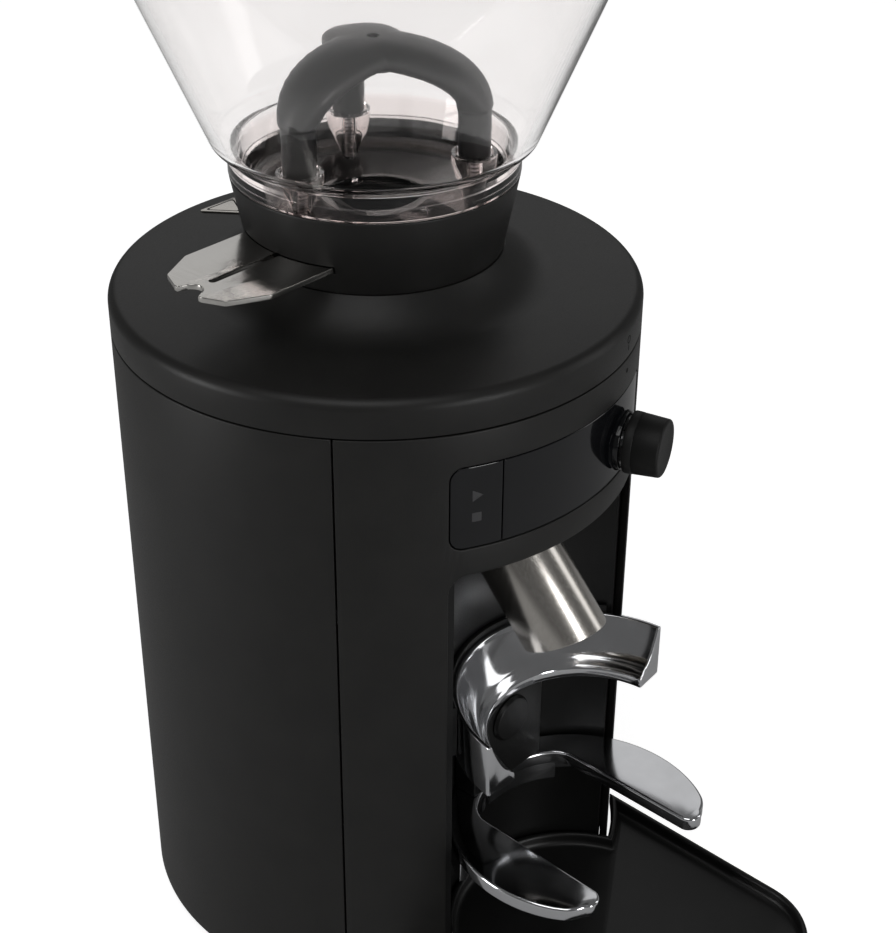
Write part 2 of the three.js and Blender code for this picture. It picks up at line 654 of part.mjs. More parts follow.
function clampScrew() {
  const y = SPINE_FRONT_Y;
  const at = (depth) => new THREE.Vector3(0, y + depth, CLAMP_Z);
  const head = rod(at(-2.2), at(-GAP), CLAMP_R - 0.8, 32, CLAMP_R);
  const shank = rod(at(-1), at(8), 3, 20);
  const socket = rod(at(-4), at(0.6), 2.4, 6);
  return cut(united(head, shank), socket);
}

function forkRail() {
  const top = Math.min(CRADLE_Z + 4, MOTOR_PLATE_Z - 10);
  const bar = box(-14, 14, RAIL_FRONT_Y - 6, RAIL_REAR_Y, FORK_TOP - FORK_TRAVEL - 10, top);
  const slot = box(
    -TONGUE_HALF_W - 0.5, TONGUE_HALF_W + 0.5, RAIL_FRONT_Y - 8, RAIL_REAR_Y + 1,
    FORK_TOP + 3 - FORK_TRAVEL, CRADLE_Z - 6,
  );
  return cut(bar, disc(LINER_OUT_R + TINY, 0, top + 5, 72, 0, RECESS_Y), slot);
}

// ---------------------------------------------------------------- tray

// Tray's outline, set in by a margin: a round tongue in the recess, then a wide front part.
function trayOutline(inset) {
  const half = TRAY_HALF_W - inset;
  const front = -TRAY_REACH + inset;
  const corner = TRAY_CORNER - inset;
  const hug = BODY_R + TRAY_CLEAR + inset;
  const tongueR = RECESS_R - TRAY_CLEAR - inset;
  const frontRow = [];
  const steps = 8;
  for (let i = 0; i <= steps; i += 1) {
    const s = -1 + 2 * i / steps;
    frontRow.push([s * (half - corner), front + TRAY_BOW * s * s]);
  }
  const endY = front + TRAY_BOW;
  const rightCorner = arcPoints(half - corner, endY + corner, corner, -90, 0, 7).slice(1);
  const leftCorner = arcPoints(-half + corner, endY + corner, corner, 180, 270, 7).slice(0, -1);
  const cornerAz = degrees(Math.asin(half / hug));
  const meet = meetingAzimuth(tongueR, hug);
  const hugRight = arcPoints(0, 0, hug, cornerAz - 90, meet.body - 90, 4);
  const tongue = arcPoints(0, RECESS_Y, tongueR, meet.tongue, 180 - meet.tongue, 26).slice(1, -1);
  const hugLeft = arcPoints(0, 0, hug, -meet.body - 90, -cornerAz - 90, 4);
  return [...frontRow, ...rightCorner, ...hugRight, ...tongue, ...hugLeft, ...leftCorner];
}

// Where a circle about the recess axis meets a circle about the body's axis.
function meetingAzimuth(tongueR, hug) {
  const y = (tongueR ** 2 - hug ** 2 - RECESS_Y ** 2) / (-2 * RECESS_Y);
  const x = Math.sqrt(hug ** 2 - y ** 2);
  return {
    body: degrees(Math.atan2(x, -y)),
    tongue: degrees(Math.atan2(y - RECESS_Y, x)),
  };
}

function tray() {
  const under = TRAY_FLOOR_Z - TRAY_BASE_T;
  const whole = united(
    extruded(trayOutline(0), under + 1, TRAY_RIM_Z),
    extruded(trayOutline(1.2), under, under + 1.5),
  );
  return whole.subtract(extruded(trayOutline(TRAY_WALL), TRAY_FLOOR_Z, TRAY_RIM_Z + 5));
}

// ---------------------------------------------------------------- controls

const BUTTON_X0 = -OPENING_HALF_W + GAP;
const BUTTON_X1 = BUTTON_X0 + BUTTON_W;
const BUTTON_STEM_X = (BUTTON_X0 + BUTTON_X1) / 2 + 2.2;
const BOARD_Y = -(FRAME_IN_R - 14.7);

function windowCutter(x0, x1, inset) {
  return frontCutter(
    x0, x1, WINDOW_BOTTOM + inset, WINDOW_TOP - inset, WINDOW_CORNER - inset, -BODY_R - 5, -30,
  );
}

function displayWindow() {
  const skin = sector(LENS_IN_R, LENS_OUT_R, -36, 36, WINDOW_BOTTOM - 2, WINDOW_TOP + 2, 0, 18);
  const outline = windowCutter(-OPENING_HALF_W + GAP, OPENING_HALF_W - GAP, GAP);
  const buttonSide = box(-80, BUTTON_X1 + GAP, -BODY_R - 5, 0, WINDOW_BOTTOM - 5, WINDOW_TOP + 5);
  return cut(skin.intersect(outline), buttonSide, dialRod(-12, 5, DIAL_BEZEL_R + GAP, 28));
}

// Point on the button stem's line, at a given Y.
function stemAt(y) {
  return new THREE.Vector3(BUTTON_STEM_X, y, WINDOW_MID);
}

function startButton() {
  const r0 = LENS_OUT_R - BUTTON_CAP_T;
  const skin = sector(r0, LENS_OUT_R, -36, -14, WINDOW_BOTTOM - 2, WINDOW_TOP + 2, 0, 10);
  const outline = windowCutter(BUTTON_X0, OPENING_HALF_W, GAP);
  const lensSide = box(BUTTON_X1, 80, -BODY_R - 5, 0, WINDOW_BOTTOM - 5, WINDOW_TOP + 5);
  const cap = cut(skin.intersect(outline), lensSide);
  const stemRoot = -Math.sqrt(r0 ** 2 - BUTTON_STEM_X ** 2) - 0.8;
  const stemEnd = BOARD_Y - SWITCH_DEPTH - BUTTON_TRAVEL - 0.5;
  const stem = rod(stemAt(stemEnd), stemAt(stemRoot), 3, 16);
  return united(cap, stem);
}

// Curved frame behind the window: it carries the lens, the circuit board and the dial's encoder.
function panelFrame() {
  const reach = 35;
  const skin = sector(FRAME_IN_R, FRAME_OUT_R, -reach, reach, WINDOW_BOTTOM - 4, WINDOW_TOP + 4, 0, 18);
  const view = box(-19, 15, -BODY_R, -60, WINDOW_BOTTOM + 3.5, WINDOW_TOP - 3.5);
  const stemHole = rod(stemAt(-BODY_R), stemAt(BOARD_Y), 4.2, 20);
  const bosses = [-1, 1].map((side) => (
    rod(new THREE.Vector3(-22, BOARD_Y - TINY, WINDOW_MID + side * 10),
      new THREE.Vector3(-22, -(FRAME_IN_R * 0.97 + 1), WINDOW_MID + side * 10), 2.5, 12)
  ));
  return cut(united(skin, ...bosses), view, stemHole, dialRod(-20, 5, DIAL_SHAFT_R + 1.5, 16));
}

function controlBoard() {
  return box(-44, 14, BOARD_Y, BOARD_Y + 1.6, WINDOW_MID - 14, WINDOW_MID + 14);
}

function displayModule() {
  return box(-17, 13, -(FRAME_OUT_R - 4), BOARD_Y - TINY, WINDOW_MID - 11, WINDOW_MID + 11);
}

function startSwitch() {
  const x = BUTTON_STEM_X;
  const y = BOARD_Y - TINY;
  const body = box(x - 2.5, x + 2.5, y - 3.5, y, WINDOW_MID - 2.5, WINDOW_MID + 2.5);
  const plunger = rod(stemAt(y - 3), stemAt(BOARD_Y - SWITCH_DEPTH), 1.5, 16);
  return united(body, plunger);
}

function knobBezel() {
  const whole = dialRod(-1.8, 1.2, DIAL_BEZEL_R, 28, DIAL_BEZEL_R - 0.5);
  return cut(whole, dialRod(-5, 5, DIAL_SHAFT_R + 0.6, 16));
}

function encoderBody() {
  const back = BODY_R - FRAME_IN_R;
  const depth = 8;
  const geometry = new THREE.BoxGeometry(12, depth, 12);
  geometry.rotateZ(rad(DIAL_AZ));
  const at = around(FRAME_IN_R - 0.6 - depth / 2, DIAL_AZ, DIAL_Z);
  geometry.translate(at.x, at.y, at.z);
  return solid(geometry).subtract(dialRod(-back - depth + 1, 5, DIAL_SHAFT_R + RUN_GAP, 20));
}

function encoderShaft() {
  const back = BODY_R - FRAME_IN_R;
  return dialRod(-back - 5, KNOB_REACH - 4, DIAL_SHAFT_R, 20);
}

function knob() {
  const base = 1.2 + KNOB_TRAVEL + 0.5;
  const body = united(
    dialRod(base, KNOB_REACH - 1, KNOB_R, 24, KNOB_FACE_R + 0.2),
    dialRod(KNOB_REACH - 1.001, KNOB_REACH, KNOB_FACE_R + 0.2, 24, KNOB_FACE_R - 0.7),
  );
  return cut(body, dialRod(0, KNOB_REACH - 4 + GAP, DIAL_SHAFT_R + RUN_GAP, 20));
}

// ---------------------------------------------------------------- power side

function powerBoard() {
  return box(-36, 36, 42, 80, BASE_TOP + 6 + TINY, BASE_TOP + 7.6);
}

function powerInlet() {
  const { x, z, halfW, halfH } = INLET;
  const face = Math.sqrt(BODY_R ** 2 - halfW ** 2) - 0.3;
  const body = box(x - halfW, x + halfW, face - 22, face, z - halfH, z + halfH);
  const socket = box(x - halfW + 2.5, x + halfW - 2.5, face - 17, face + 2, z - halfH + 2.5, z + halfH - 2.5);
  const pins = [[-7, -1.5], [0, 2], [7, -1.5]].map(([dx, dz]) => (
    box(x + dx - 1, x + dx + 1, face - 18, face - 4, z + dz - 2, z + dz + 2)
  ));
  return united(cut(body, socket), ...pins);
}

const ROCKER_FACE_Y = Math.sqrt(BODY_R ** 2 - ROCKER.halfW ** 2) - 0.3;
const ROCKER_PIVOT = { y: ROCKER_FACE_Y - 6, z: ROCKER.z };

function switchHousing() {
  const { x, z, halfW, halfH } = ROCKER;
  const face = ROCKER_FACE_Y;
  const body = box(x - halfW, x + halfW, face - 18, face, z - halfH, z + halfH);
  const well = box(x - halfW + 1.5, x + halfW - 1.5, face - 12, face + 2, z - halfH + 1.2, z + halfH - 1.2);
  return cut(body, well);
}

function powerRocker() {
  const { x, halfW } = ROCKER;
  const { y, z } = ROCKER_PIVOT;
  const w = halfW - 1.9;
  const section = [[-4.4, 5], [0, 3.6], [4.4, 5], [3.6, -1.5], [1.5, -4.5], [-1.5, -4.5], [-3.6, -1.5]];
  const shape = new THREE.Shape(section.map(([dz, dy]) => new THREE.Vector2(dy, dz)));
  const geometry = new THREE.ExtrudeGeometry(shape, { depth: 2 * w, bevelEnabled: false });
  geometry.applyMatrix4(new THREE.Matrix4().set(
    0, 0, 1, x - w,
    1, 0, 0, y,
    0, 1, 0, z,
    0, 0, 0, 1,
  ));
  return solid(geometry);
}

// ---------------------------------------------------------------- grind ring, collar and slide

function ringSlopeZ(radius) {
  const t = (radius - RING_SHOULDER_R) / (BODY_R - RING_FILLET - RING_SHOULDER_R);
  return RING_RIM_TOP + 1.7 * (1 - t);
}

function grindRing() {
  const shoulderZ = ringSlopeZ(RING_SHOULDER_R);
  const flare = [];
  for (let i = 1; i < 4; i += 1) {
    const s = i / 4;
    const r = RING_SHOULDER_R + (COLLAR_R + 0.6 - RING_SHOULDER_R) * s;
    flare.push([r, shoulderZ + (RING_TOP - shoulderZ) * s ** 2.2]);
  }
  const rim = arcPoints(BODY_R - RING_FILLET, RING_RIM_TOP - RING_FILLET, RING_FILLET, 0, 90, 2);
  const ribIn = CHAMBER_R + 1;
  const hubBottom = UPPER_CARRIER_Z + 1.5;
  return turned([
    [BODY_R, RING_Z], ...rim, [RING_SHOULDER_R, shoulderZ], ...flare, [COLLAR_R + 0.6, RING_TOP],
    [THROAT_HALF_Y + 7, RING_TOP], [THROAT_HALF_Y + 7, RING_TOP - 4], [HUB_IN_R, RING_TOP - 5],
    [HUB_IN_R, hubBottom], [THREAD_HUB_R, hubBottom], [THREAD_HUB_R, RING_TOP - 9],
    [ribIn, RING_TOP - 12], [ribIn, CHAMBER_TOP + GAP + 1.5], [ribIn + 4, CHAMBER_TOP + GAP + 1.5],
    [ribIn + 4, RING_TOP - 13.5], [RING_SHOULDER_R, shoulderZ - RING_WALL],
    [BODY_R - RING_WALL - 3, RING_RIM_TOP - RING_WALL], [BODY_R - RING_WALL, RING_RIM_TOP - RING_WALL - 3],
    [BODY_R - RING_WALL, RING_Z],
  ], 44);
}

function badgePlate() {
  const inner = 70;
  const outer = 84;
  const lift = TINY;
  const sheet = turned([
    [inner, ringSlopeZ(inner) + lift], [outer, ringSlopeZ(outer) + lift],
    [outer, ringSlopeZ(outer) + lift + 0.5], [inner, ringSlopeZ(inner) + lift + 0.5],
  ], 48);
  const keep = box(-11, 11, inner - 5, outer + 5, BODY_TOP, RING_TOP + 5);
  return sheet.intersect(keep);
}

function roundedRect(halfX, halfY, corner) {
  return [
    ...arcPoints(halfX - corner, -halfY + corner, corner, -90, 0, 4),
    ...arcPoints(halfX - corner, halfY - corner, corner, 0, 90, 4),
    ...arcPoints(-halfX + corner, halfY - corner, corner, 90, 180, 4),
    ...arcPoints(-halfX + corner, -halfY + corner, corner, 180, 270, 4),
  ];
}

// The slide's inner end at rest, just clear of the throat it shuts.
const SLIDE_INNER_X = -THROAT_HALF_X - 1.5;

function hopperCollar() {
  const innerR = COLLAR_TOP_R - COLLAR_WALL;
  const body = turned([
    [0, COLLAR_Z], [COLLAR_R, COLLAR_Z], [COLLAR_TOP_R, COLLAR_TOP], [innerR, COLLAR_TOP],
    [innerR, COLLAR_FLOOR_TOP], [0, COLLAR_FLOOR_TOP],
  ], 48);
  const throat = extruded(roundedRect(THROAT_HALF_X, THROAT_HALF_Y, 8), COLLAR_Z - 1, COLLAR_TOP);
  const channelEnd = SLIDE_INNER_X + SLIDE_TRAVEL + SLIDE_END_CLEAR;
  const channel = box(
    -COLLAR_TOP_R - 5, channelEnd, -SLIDE_HALF_W - 0.5, SLIDE_HALF_W + 0.5,
    SLIDE_Z - GAP, SLIDE_Z + SLIDE_T + GAP,
  );
  const pinHole = disc(PIN_R + TINY, COLLAR_Z - 1, COLLAR_TOP, 12, PIN_X, 0);
  return cut(body, throat, channel, pinHole);
}

function slidePin() {
  return disc(PIN_R, COLLAR_Z + 1, COLLAR_FLOOR_TOP - 0.5, 12, PIN_X, 0);
}

function hopperSlide() {
  const tip = -SLIDE_REACH;
  const halfW = SLIDE_HALF_W;
  const notch = arcPoints(tip + 1.2, 0, 4.2, -80, 80, 6);
  const outline = [
    [SLIDE_INNER_X, -halfW], [SLIDE_INNER_X, halfW], [tip + 17, halfW], [tip + 3.5, 14.5], [tip, 6.5],
    [tip, 5], ...notch.reverse(), [tip, -5], [tip, -6.5], [tip + 3.5, -14.5], [tip + 17, -halfW],
  ];
  const slotEnd = PIN_X + PIN_R + 0.4;
  const slot = [
    ...arcPoints(slotEnd - SLOT_HALF_W + 0.3, 0, SLOT_HALF_W, -90, 90, 4),
    ...arcPoints(tip + 9.5 + SLOT_HALF_W, 0, SLOT_HALF_W, 90, 270, 4),
  ];
  return extruded(outline, SLIDE_Z, SLIDE_Z + SLIDE_T, slot);
}

// ---------------------------------------------------------------- hopper, arch and lid

const HOPPER_FLOOR_IN = [HOPPER_THROAT_R + 3, HOPPER_Z + HOPPER_WALL + 0.3];
const HOPPER_FLOOR_OUT = [COLLAR_TOP_R - COLLAR_WALL - 3.2, HOPPER_Z + 9];

function hopperFloorZ(radius) {
  const [r0, z0] = HOPPER_FLOOR_IN;
  const [r1, z1] = HOPPER_FLOOR_OUT;
  return z0 + (z1 - z0) * (radius - r0) / (r1 - r0);
}

function hopper() {
  const spigotR = COLLAR_TOP_R - COLLAR_WALL - 0.8;
  const bandR = COLLAR_TOP_R + 0.1;
  const bandTop = HOPPER_SEAT_Z + HOPPER_BAND_H;
  const shoulderZ = bandTop + 3.4;
  const shell = turned([
    [HOPPER_THROAT_R, HOPPER_Z], [HOPPER_THROAT_R + 4, HOPPER_Z], [spigotR, HOPPER_Z + 7],
    [spigotR, HOPPER_SEAT_Z], [bandR, HOPPER_SEAT_Z], [bandR, bandTop],
    [HOPPER_SHOULDER_R, shoulderZ], [HOPPER_RIM_R - 2, HOPPER_CONE_TOP],
    [HOPPER_RIM_R, HOPPER_CONE_TOP + 1.5], [HOPPER_RIM_R, HOPPER_RIM_TOP],
    [HOPPER_RIM_R - HOPPER_WALL, HOPPER_RIM_TOP], [HOPPER_RIM_R - HOPPER_WALL, HOPPER_CONE_TOP + 2.5],
    [HOPPER_RIM_R - HOPPER_WALL - 2.3, HOPPER_CONE_TOP + 0.5],
    [HOPPER_SHOULDER_R - HOPPER_WALL - 0.4, shoulderZ + 1.8],
    [bandR - HOPPER_WALL - 0.8, bandTop + 1], HOPPER_FLOOR_OUT, HOPPER_FLOOR_IN,
    [HOPPER_THROAT_R, HOPPER_Z + HOPPER_WALL + 0.3],
  ], HOPPER_SIDES);
  const bossTop = ARCH_LEG_Z - TINY;
  const posts = [];
  const holes = [];
  for (const azimuth of ARCH_AZIMUTHS) {
    const at = around(ARCH_LEG_CIRCLE_R, azimuth);
    const low = hopperFloorZ(ARCH_LEG_CIRCLE_R) - 1.8;
    posts.push(turned([[0, low], [3.4, low], [ARCH_LEG_R - 0.4, bossTop], [0, bossTop]], 20, at.x, at.y));
    holes.push(disc(1.9, HOPPER_Z - 2, bossTop + 2, 16, at.x, at.y));
  }
  return cut(united(shell, ...posts), ...holes);
}

function archScrew(azimuth) {
  const at = around(ARCH_LEG_CIRCLE_R, azimuth);
  const top = ARCH_LEG_Z + 7;
  const low = hopperFloorZ(ARCH_LEG_CIRCLE_R) - 1;
  return disc(1.55, low, top, 12, at.x, at.y);
}

// Three-legged guard: each limb is a swept band that rises from its leg to the crown.
function guardArch() {
  const limbs = ARCH_AZIMUTHS.map((azimuth) => archLimb(azimuth));
  const crown = turned([
    [0, ARCH_CROWN_Z - 12.5], [10, ARCH_CROWN_Z - 12.5], [12, ARCH_CROWN_Z - 6],
    [9, ARCH_CROWN_Z - 1.3], [4, ARCH_CROWN_Z - 0.2], [0, ARCH_CROWN_Z],
  ], 32);
  const holes = ARCH_AZIMUTHS.map((azimuth) => {
    const at = around(ARCH_LEG_CIRCLE_R, azimuth);
    return disc(1.75, ARCH_LEG_Z - 5, ARCH_LEG_Z + 8, 16, at.x, at.y);
  });
  const dimple = rod(
    new THREE.Vector3(0, 0, ARCH_CROWN_Z - 3), new THREE.Vector3(0, 0, ARCH_CROWN_Z + 0.5), 1, 16, 2.6,
  );
  return cut(united(crown, ...limbs), ...holes, dimple);
}

function archLimb(azimuth) {
  const leg = around(ARCH_LEG_CIRCLE_R, azimuth);
  const outwards = around(1, azimuth);
  const stations = 7;
  const sides = 8;
  const rings = [];
  for (let i = 0; i <= stations; i += 1) {
    const s = i / stations;
    const swing = rad(90 * Math.min(1, s * 1.02));
    const spread = ARCH_LEG_CIRCLE_R * Math.cos(swing);
    const low = ARCH_LEG_Z + 10;
    const z = low + (ARCH_CROWN_Z - 6.3 - low) * Math.sin(swing) ** 0.9;
    const halfWide = ARCH_LEG_R + (10 - ARCH_LEG_R) * Math.sin(Math.PI * 0.5 * s);
    const halfThick = ARCH_LEG_R - 0.4 * s;
    rings.push({ spread, z, swing, halfWide, halfThick });
  }
  rings.unshift({ ...rings[0], z: ARCH_LEG_Z });
  const position = [];
  const index = [];
  const across = new THREE.Vector3(-outwards.y, outwards.x, 0);
  for (const { spread, z, swing, halfWide, halfThick } of rings) {
    for (let k = 0; k < sides; k += 1) {
      const turn = 2 * Math.PI * k / sides;
      const out = halfThick * Math.cos(turn);
      const side = halfWide * Math.sin(turn);
      const radial = spread + out * Math.cos(swing);
      const point = outwards.clone().multiplyScalar(radial).addScaledVector(across, side);
      position.push(point.x, point.y, z + out * Math.sin(swing));
    }
  }
  const last = rings.length - 1;
  for (let i = 0; i < last; i += 1) {
    for (let k = 0; k < sides; k += 1) {
      const next = (k + 1) % sides;
      const a = i * sides + k;
      const b = i * sides + next;
      index.push(a, b, b + sides, a, b + sides, a + sides);
    }
  }
  for (let k = 1; k < sides - 1; k += 1) {
    index.push(0, k + 1, k);
    index.push(last * sides, last * sides + k, last * sides + k + 1);
  }
  const geometry = new THREE.BufferGeometry();
  geometry.setAttribute('position', new THREE.Float32BufferAttribute(position, 3));
  geometry.setIndex(index);
  return solid(geometry);
}

function hopperLid() {
  const seat = HOPPER_RIM_TOP + TINY;
  const skirtR = HOPPER_RIM_R - HOPPER_WALL - 2.2;
  const dome = [];
  for (let i = 0; i <= 3; i += 1) {
    const r = (LID_R - 2.5) * (1 - i / 3);
    dome.push([r, OVERALL_TOP - 4 * (r / LID_R) ** 2]);
  }
  const drop = OVERALL_TOP - 12 - seat;
  return turned([
    [0, seat + drop * 0.6], [skirtR - 2.5, seat], [skirtR - 2.5, seat - 6], [skirtR, seat - 6],
    [skirtR, seat - 4.6], [skirtR - 0.9, seat - 4.6], [skirtR - 0.9, seat - 2], [skirtR, seat - 2],
    [skirtR, seat], [LID_R, seat], [LID_R, OVERALL_TOP - 6], [LID_R - 1.2, OVERALL_TOP - 4.5],
    ...dome,
  ], HOPPER_SIDES);
}

function lidSeal() {
  const seat = HOPPER_RIM_TOP + TINY;
  const skirtR = HOPPER_RIM_R - HOPPER_WALL - 2.2;
  const outer = HOPPER_RIM_R - HOPPER_WALL - GAP;
  return ring(skirtR - 0.6, outer, seat - 4.4, seat - 2.2, HOPPER_SIDES);
}

// ---------------------------------------------------------------- assembly

const FINISHES = {
  painted: { color: 0x232220, roughness: 0.55, metalness: 0.2 },
  gloss: { color: 0x15161a, roughness: 0.12, metalness: 0.0 },
  satin: { color: 0x1b1b1b, roughness: 0.42, metalness: 0.0 },
  dark: { color: 0x38383a, roughness: 0.5, metalness: 0.0 },
  brushed: { color: 0xb4b0a8, roughness: 0.3, metalness: 1.0 },
  polished: { color: 0xc9cace, roughness: 0.12, metalness: 1.0 },
  steel: { color: 0x9a9ca0, roughness: 0.35, metalness: 1.0 },
  cast: { color: 0x8d8f92, roughness: 0.6, metalness: 0.8 },
  clear: { color: 0xe8e6e4, roughness: 0.05, metalness: 0.0 },
  rubber: { color: 0x1c1c1c, roughness: 0.9, metalness: 0.0 },
  board: { color: 0x1f5b3a, roughness: 0.5, metalness: 0.1 },
  copper: { color: 0x9a6a3c, roughness: 0.4, metalness: 0.8 },
};

const grinder = new THREE.Group();
grinder.position.y = DEPTH_SHIFT;

function place(name, body, finish) {
  const material = new THREE.MeshStandardMaterial(FINISHES[finish]);
  const mesh = new THREE.Mesh(toGeometry(body), material);
  mesh.name = name;
  grinder.add(mesh);
}

place('base_plate', basePlate(), 'cast');
[45, 135, 225, 315].forEach((azimuth, i) => place(`foot_${i + 1}`, foot(azimuth), 'rubber'));
place('front_cover', frontCover(), 'painted');
place('rear_cover', rearCover(), 'painted');
place('recess_liner', recessLiner(), 'satin');
for (const [side, azimuth] of Object.entries(POST_AZIMUTHS)) {
  place(`frame_post_${side}`, framePost(azimuth), 'steel');
}
place('motor_plate', motorPlate(), 'cast');
place('motor_stator', motorStator(), 'cast');
place('lower_bearing', bearing(LOWER_BEARING_Z), 'steel');
place('upper_bearing', bearing(UPPER_BEARING_Z), 'steel');
place('drive_shaft', driveShaft(), 'steel');
place('rotor_core', rotorCore(), 'copper');
place('cooling_fan', coolingFan(), 'dark');
place('grinding_chamber', grindingChamber(), 'cast');
place('burr_carrier_lower', burrCarrierLower(), 'steel');
place('lower_burr', lowerBurr(), 'steel');
place('upper_burr', upperBurr(), 'steel');
place('burr_carrier_upper', burrCarrierUpper(), 'cast');
place('spout_tube', spoutTube(), 'brushed');
place('cradle', cradle(), 'polished');
place('cradle_bracket', cradleBracket(), 'satin');
place('fork', fork(), 'polished');
place('fork_bracket', forkBracket(), 'satin');
place('clamp_screw', clampScrew(), 'satin');
place('fork_rail', forkRail(), 'steel');
place('tray', tray(), 'satin');
place('panel_frame', panelFrame(), 'dark');
place('display_window', displayWindow(), 'gloss');
place('start_button', startButton(), 'gloss');
place('display_module', displayModule(), 'dark');
place('control_board', controlBoard(), 'board');
place('start_switch', startSwitch(), 'dark');
place('knob_bezel', knobBezel(), 'gloss');
place('encoder_body', encoderBody(), 'dark');
place('encoder_shaft', encoderShaft(), 'steel');
place('knob', knob(), 'dark');
place('power_board', powerBoard(), 'board');
place('power_inlet', powerInlet(), 'dark');
place('switch_housing', switchHousing(), 'dark');
place('power_rocker', powerRocker(), 'dark');
place('grind_ring', grindRing(), 'painted');
place('badge_plate', badgePlate(), 'brushed');
place('hopper_collar', hopperCollar(), 'painted');
place('slide_pin', slidePin(), 'steel');
place('hopper_slide', hopperSlide(), 'brushed');
place('hopper', hopper(), 'clear');
place('guard_arch', guardArch(), 'dark');
ARCH_AZIMUTHS.forEach((azimuth, i) => place(`arch_screw_${i + 1}`, archScrew(azimuth), 'steel'));
place('hopper_lid', hopperLid(), 'dark');
place('lid_seal', lidSeal(), 'rubber');

export default grinder;
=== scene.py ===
"""Burr coffee grinder: the visible surfaces, their materials, the light and the camera."""
import json
import math

import bmesh
import bpy
from mathutils import Matrix, Vector

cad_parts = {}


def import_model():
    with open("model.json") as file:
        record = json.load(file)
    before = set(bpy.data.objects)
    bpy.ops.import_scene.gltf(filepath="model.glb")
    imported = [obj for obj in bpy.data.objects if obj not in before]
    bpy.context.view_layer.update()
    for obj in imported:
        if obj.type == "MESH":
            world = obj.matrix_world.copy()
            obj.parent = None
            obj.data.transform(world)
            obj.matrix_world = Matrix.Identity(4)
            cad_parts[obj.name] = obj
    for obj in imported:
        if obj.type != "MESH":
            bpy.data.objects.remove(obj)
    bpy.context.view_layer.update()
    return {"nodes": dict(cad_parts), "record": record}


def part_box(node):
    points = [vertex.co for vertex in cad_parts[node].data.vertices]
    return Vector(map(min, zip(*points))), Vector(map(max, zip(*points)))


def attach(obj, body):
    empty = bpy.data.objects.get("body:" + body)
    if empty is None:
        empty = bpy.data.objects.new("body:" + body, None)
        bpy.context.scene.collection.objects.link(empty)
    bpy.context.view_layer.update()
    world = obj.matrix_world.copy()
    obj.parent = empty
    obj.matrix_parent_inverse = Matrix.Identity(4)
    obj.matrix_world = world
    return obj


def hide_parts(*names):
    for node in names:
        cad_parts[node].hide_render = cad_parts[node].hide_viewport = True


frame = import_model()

MM = 0.001
RECORD = frame["record"]
BODY_OF = {node: body for body, nodes in RECORD["behaviour"]["bodies"].items() for node in nodes}
SLOT_OF = {part["node"]: part["material_slot"] for part in RECORD["subparts"]}

# ---------------------------------------------------------------- places from the frame
# Lengths below are millimetres, with the body's vertical axis at x = 0, y = 0.

AXIS_Y = 0.0


def span(node):
    """Lowest and highest corner of a CAD node, in millimetres from the body's axis."""
    low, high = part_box(node)
    shift = Vector((0, AXIS_Y, 0))
    return Vector(low) / MM - shift, Vector(high) / MM - shift


BODY_R = span("rear_cover")[1].x
AXIS_Y = span("rear_cover")[1].y - BODY_R

GAP = 0.3
COVER_WALL = 3.0
SEAM = 0.6
LINER_WALL = 2.0
COVER_EDGE = 0.45
OPENING_CORNER_R = 7
WINDOW_CORNER_R = 5
BODY_Z = span("rear_cover")[0].z
BODY_TOP = span("rear_cover")[1].z
SPLIT_AZ = math.asin(span("front_cover")[1].x / BODY_R)
OPENING_HALF_W = span("display_window")[1].x + GAP
OPENING_AZ = math.asin(OPENING_HALF_W / BODY_R)
OPENING_TOP = span("recess_liner")[1].z - LINER_WALL
WINDOW_Z = span("display_window")[0].z - GAP
WINDOW_TOP = span("display_window")[1].z + GAP
RING_TOP = span("grind_ring")[1].z
RING_Z = BODY_TOP + SEAM
RING_RIM_TOP = BODY_TOP + 14.2
COLLAR_Z = span("hopper_collar")[0].z
COLLAR_TOP = span("hopper_collar")[1].z
RECESS_R = 52.0
RECESS_Y = span("cradle_bracket")[1].y - (RECESS_R - GAP)
DIAL_AZ = math.radians(20)
DIAL_DIR = Vector((math.sin(DIAL_AZ), -math.cos(DIAL_AZ), 0))
DIAL_Z = (span("knob")[0].z + span("knob")[1].z) / 2
HOPPER_RIM_R = span("hopper")[1].x


# ---------------------------------------------------------------- outlines

def rounded(points, steps=6):
    """Closed outline with its corners rounded: each point is (x, y) or (x, y, radius)."""
    outline = []
    count = len(points)
    for i, point in enumerate(points):
        corner = Vector(point[:2])
        radius = point[2] if len(point) > 2 else 0
        if radius == 0:
            outline.append((corner.x, corner.y))
            continue
        before = (Vector(points[i - 1][:2]) - corner).normalized()
        after = (Vector(points[(i + 1) % count][:2]) - corner).normalized()
        half = before.angle(after) / 2
        centre = corner + (before + after).normalized() * radius / math.sin(half)
        start = corner + before * radius / math.tan(half) - centre
        end = corner + after * radius / math.tan(half) - centre
        turn = start.angle_signed(end)
        for k in range(steps + 1):
            angle = math.atan2(start.y, start.x) - turn * k / steps
            outline.append((centre.x + radius * math.cos(angle), centre.y + radius * math.sin(angle)))
    return outline


def arc(cx, cy, radius, start, end, steps):
    """Points along an arc, in degrees."""
    points = []
    for k in range(steps + 1):
        angle = math.radians(start + (end - start) * k / steps)
        points.append((cx + radius * math.cos(angle), cy + radius * math.sin(angle)))
    return points


def rectangle(x0, x1, y0, y1, radius, steps=6):
    return rounded([(x0, y0, radius), (x1, y0, radius), (x1, y1, radius), (x0, y1, radius)], steps)


# ---------------------------------------------------------------- shapes, as bmeshes in millimetres

